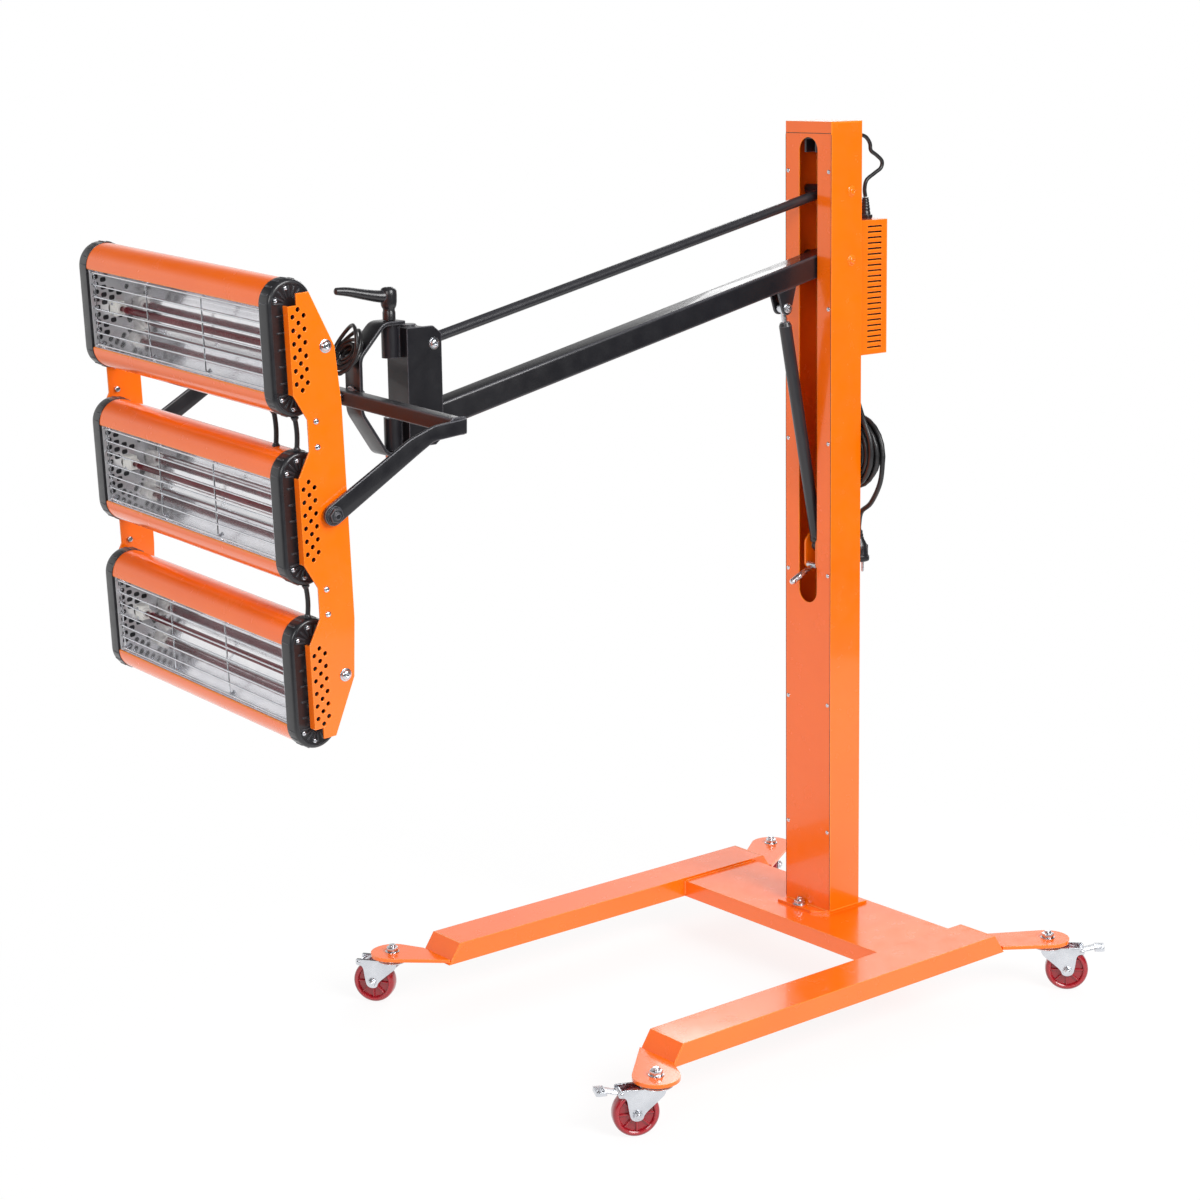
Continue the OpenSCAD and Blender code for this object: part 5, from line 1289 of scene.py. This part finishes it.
@piece("bow", "black_paint", "bow")
def bow_bar(bm):
    top, low = CARRIER_HIGH + 8, CARRIER_LOW - 8
    front = BOW_X - 3
    back, shoulder = HINGE_X - 16, HINGE_X + 22
    path = open_bends([
        (back, top), (shoulder, top), (front, top - 48), (front, ROLL_Z - 26), (shoulder, low), (back, low),
    ], 9, 6)
    slab(bm, ribbon(path, 5.8), -20, 20, SIDE, 0.9, 3)


@piece("clamp_lever", "black_plastic", "clamp_lever")
def lever_handle(bm):
    """Clamp lever: stepped hub and a tapered arm with a round end."""
    base = CARRIER_HIGH + 11.6
    lathe(bm, [
        (9.4, 0), (10, 0.6), (10, 12), (9.2, 14), (9.2, 17), (10.6, 19), (11.8, 22), (12.6, 28), (12.9, 38),
        (12.6, 44), (11, 47.6), (8.4, 49.4), (6, 49.8), (5.6, 48.6), (0, 48.6),
    ], shift(0, 0, base), 44)
    arm = smooth([(4, 0, 36), (18, 0, 37), (40, 0, 41), (66, 0, 46.5), (82, 0, 48.4), (90, 0, 48.8)], 5)
    radii = [10.2 - 5.4 * k / len(arm) for k in range(len(arm))]
    radii[-2:] = 4.2, 2.4
    sweep(bm, placed(arm, turn(-8, "Z") @ shift(0, 0, base)), radii, 16)


@piece("carrier", "zinc", "carrier_pins")
def hinge_pin_set(bm):
    """Bolts of boom and link in the carrier, and the upright hinge pin in two lengths."""
    for z in (END_Z, END_Z + LINK_RISE):
        rod(bm, 12, 27, shift(END_X, 0, z), 24)
        for side in SIDES:
            face = outward(side, END_X, 27, z)
            disc(bm, 9.4, -0.1, 1, face, 28)
            button(bm, 7.6, 4.4, face @ shift(0, 0, 1))
    top, low = CARRIER_HIGH, CARRIER_LOW
    at = shift(HINGE_X, 0, 0)
    lathe(bm, [(8, top - 46), (8, top + 11), (7.4, top + 11.4)], at, 28)
    lathe(bm, [(8, low - 16), (8, low + 46)], at, 28)
    hexagon(bm, 24, low - 16, low - 11, at)


@piece("gas_cylinder", "black_plastic")
def gas_collars(bm):
    low = -SPRING_LEN
    lathe(bm, [(11, low + 9), (11.6, low + 10), (11.6, low + 17), (11, low + 18)], n=36)
    lathe(bm, [(8.6, -32.4), (9.4, -31.8), (9.4, -28), (7.4, -26), (5.4, -25.4)], n=36)


# Spare loops of the lamp lead on the bow and the tie that holds them

HANK_X, HANK_Z, HANK_LEAN = BOW_X + 9, ROLL_Z + 66, -40
hank_at = shift(HANK_X, 0, HANK_Z) @ turn(HANK_LEAN, "Y")
hank = placed(coil_path(200, 2, 2, 26, 7.7), hank_at)
slack = []
for lift, swell, lean in ((10, 33, -22), (-4, 30, -58), (2, 37, -36)):
    around = [radians(200 - 9 * k) for k in range(34)]
    strand = [(4 * sin(2 * t), swell * cos(t) * 0.8, swell * sin(t)) for t in around]
    slack.append(placed(strand, shift(HANK_X, 0, HANK_Z + lift) @ turn(lean, "Y")))
wire_piece("bow_loops", "bow", "cord_rubber", [hank, *slack], 3, "bow_cable")

# Short leads between the cassettes: the row above, the place across, and the housing's or cap's radius

LEADS = ((1, 205, 34), (1, 258, 36), (0, 258, 36))
LEAD_STEPS = 12


def lead_ends(row, v, r):
    """Where a lead leaves the cassette above and enters the one below."""
    reach = OPEN_HALF + r
    return Vector((-LOBE_R, v, row * ROW_PITCH - reach)), Vector((-LOBE_R, v, (row - 1) * ROW_PITCH + reach))


def lead_path(row, v, r):
    """Runs between a lead's ends, 0.3 mm off the cassettes, and bows 2 mm at its middle."""
    high, low = lead_ends(row, v, r + 0.3)
    steps = [k / LEAD_STEPS for k in range(LEAD_STEPS + 1)]
    return [high.lerp(low, t) - Vector((2 * sin(pi * t), 0, 0)) for t in steps]


leads = [lead_path(*spec) for spec in LEADS]
wire_piece("head_leads", "lamp_head", "cord_rubber", leads, 3.5, "head_cables")


@piece("bow", "black_plastic")
def hank_tie(bm):
    """Cable tie: a flat strap round the hank and its lock."""
    at = shift(*(hank_at @ Vector((-4, 0, -22)))) @ turn(HANK_LEAN, "Y") @ turn(90, "Z")
    sweep(bm, placed([(0, p.x, p.y) for p in oblong(20, 26, 9, 6)], at), 1.1, 6, closed=True)
    block(bm, (6, 5, 5), (0, 0, 14.5), at)


@piece("lamp_head", "black_plastic")
def lead_grommets(bm):
    for spec in LEADS:
        for end, up in zip(lead_ends(*spec), (-1, 1)):
            at = shift(*end) @ Matrix.Diagonal((1, 1, up, 1))
            lathe(bm, [(3.6, 0.2), (5.6, -0.4), (5.4, 1.6), (4.4, 2.6), (4, 4), (3.6, 4.2)], at, 28)
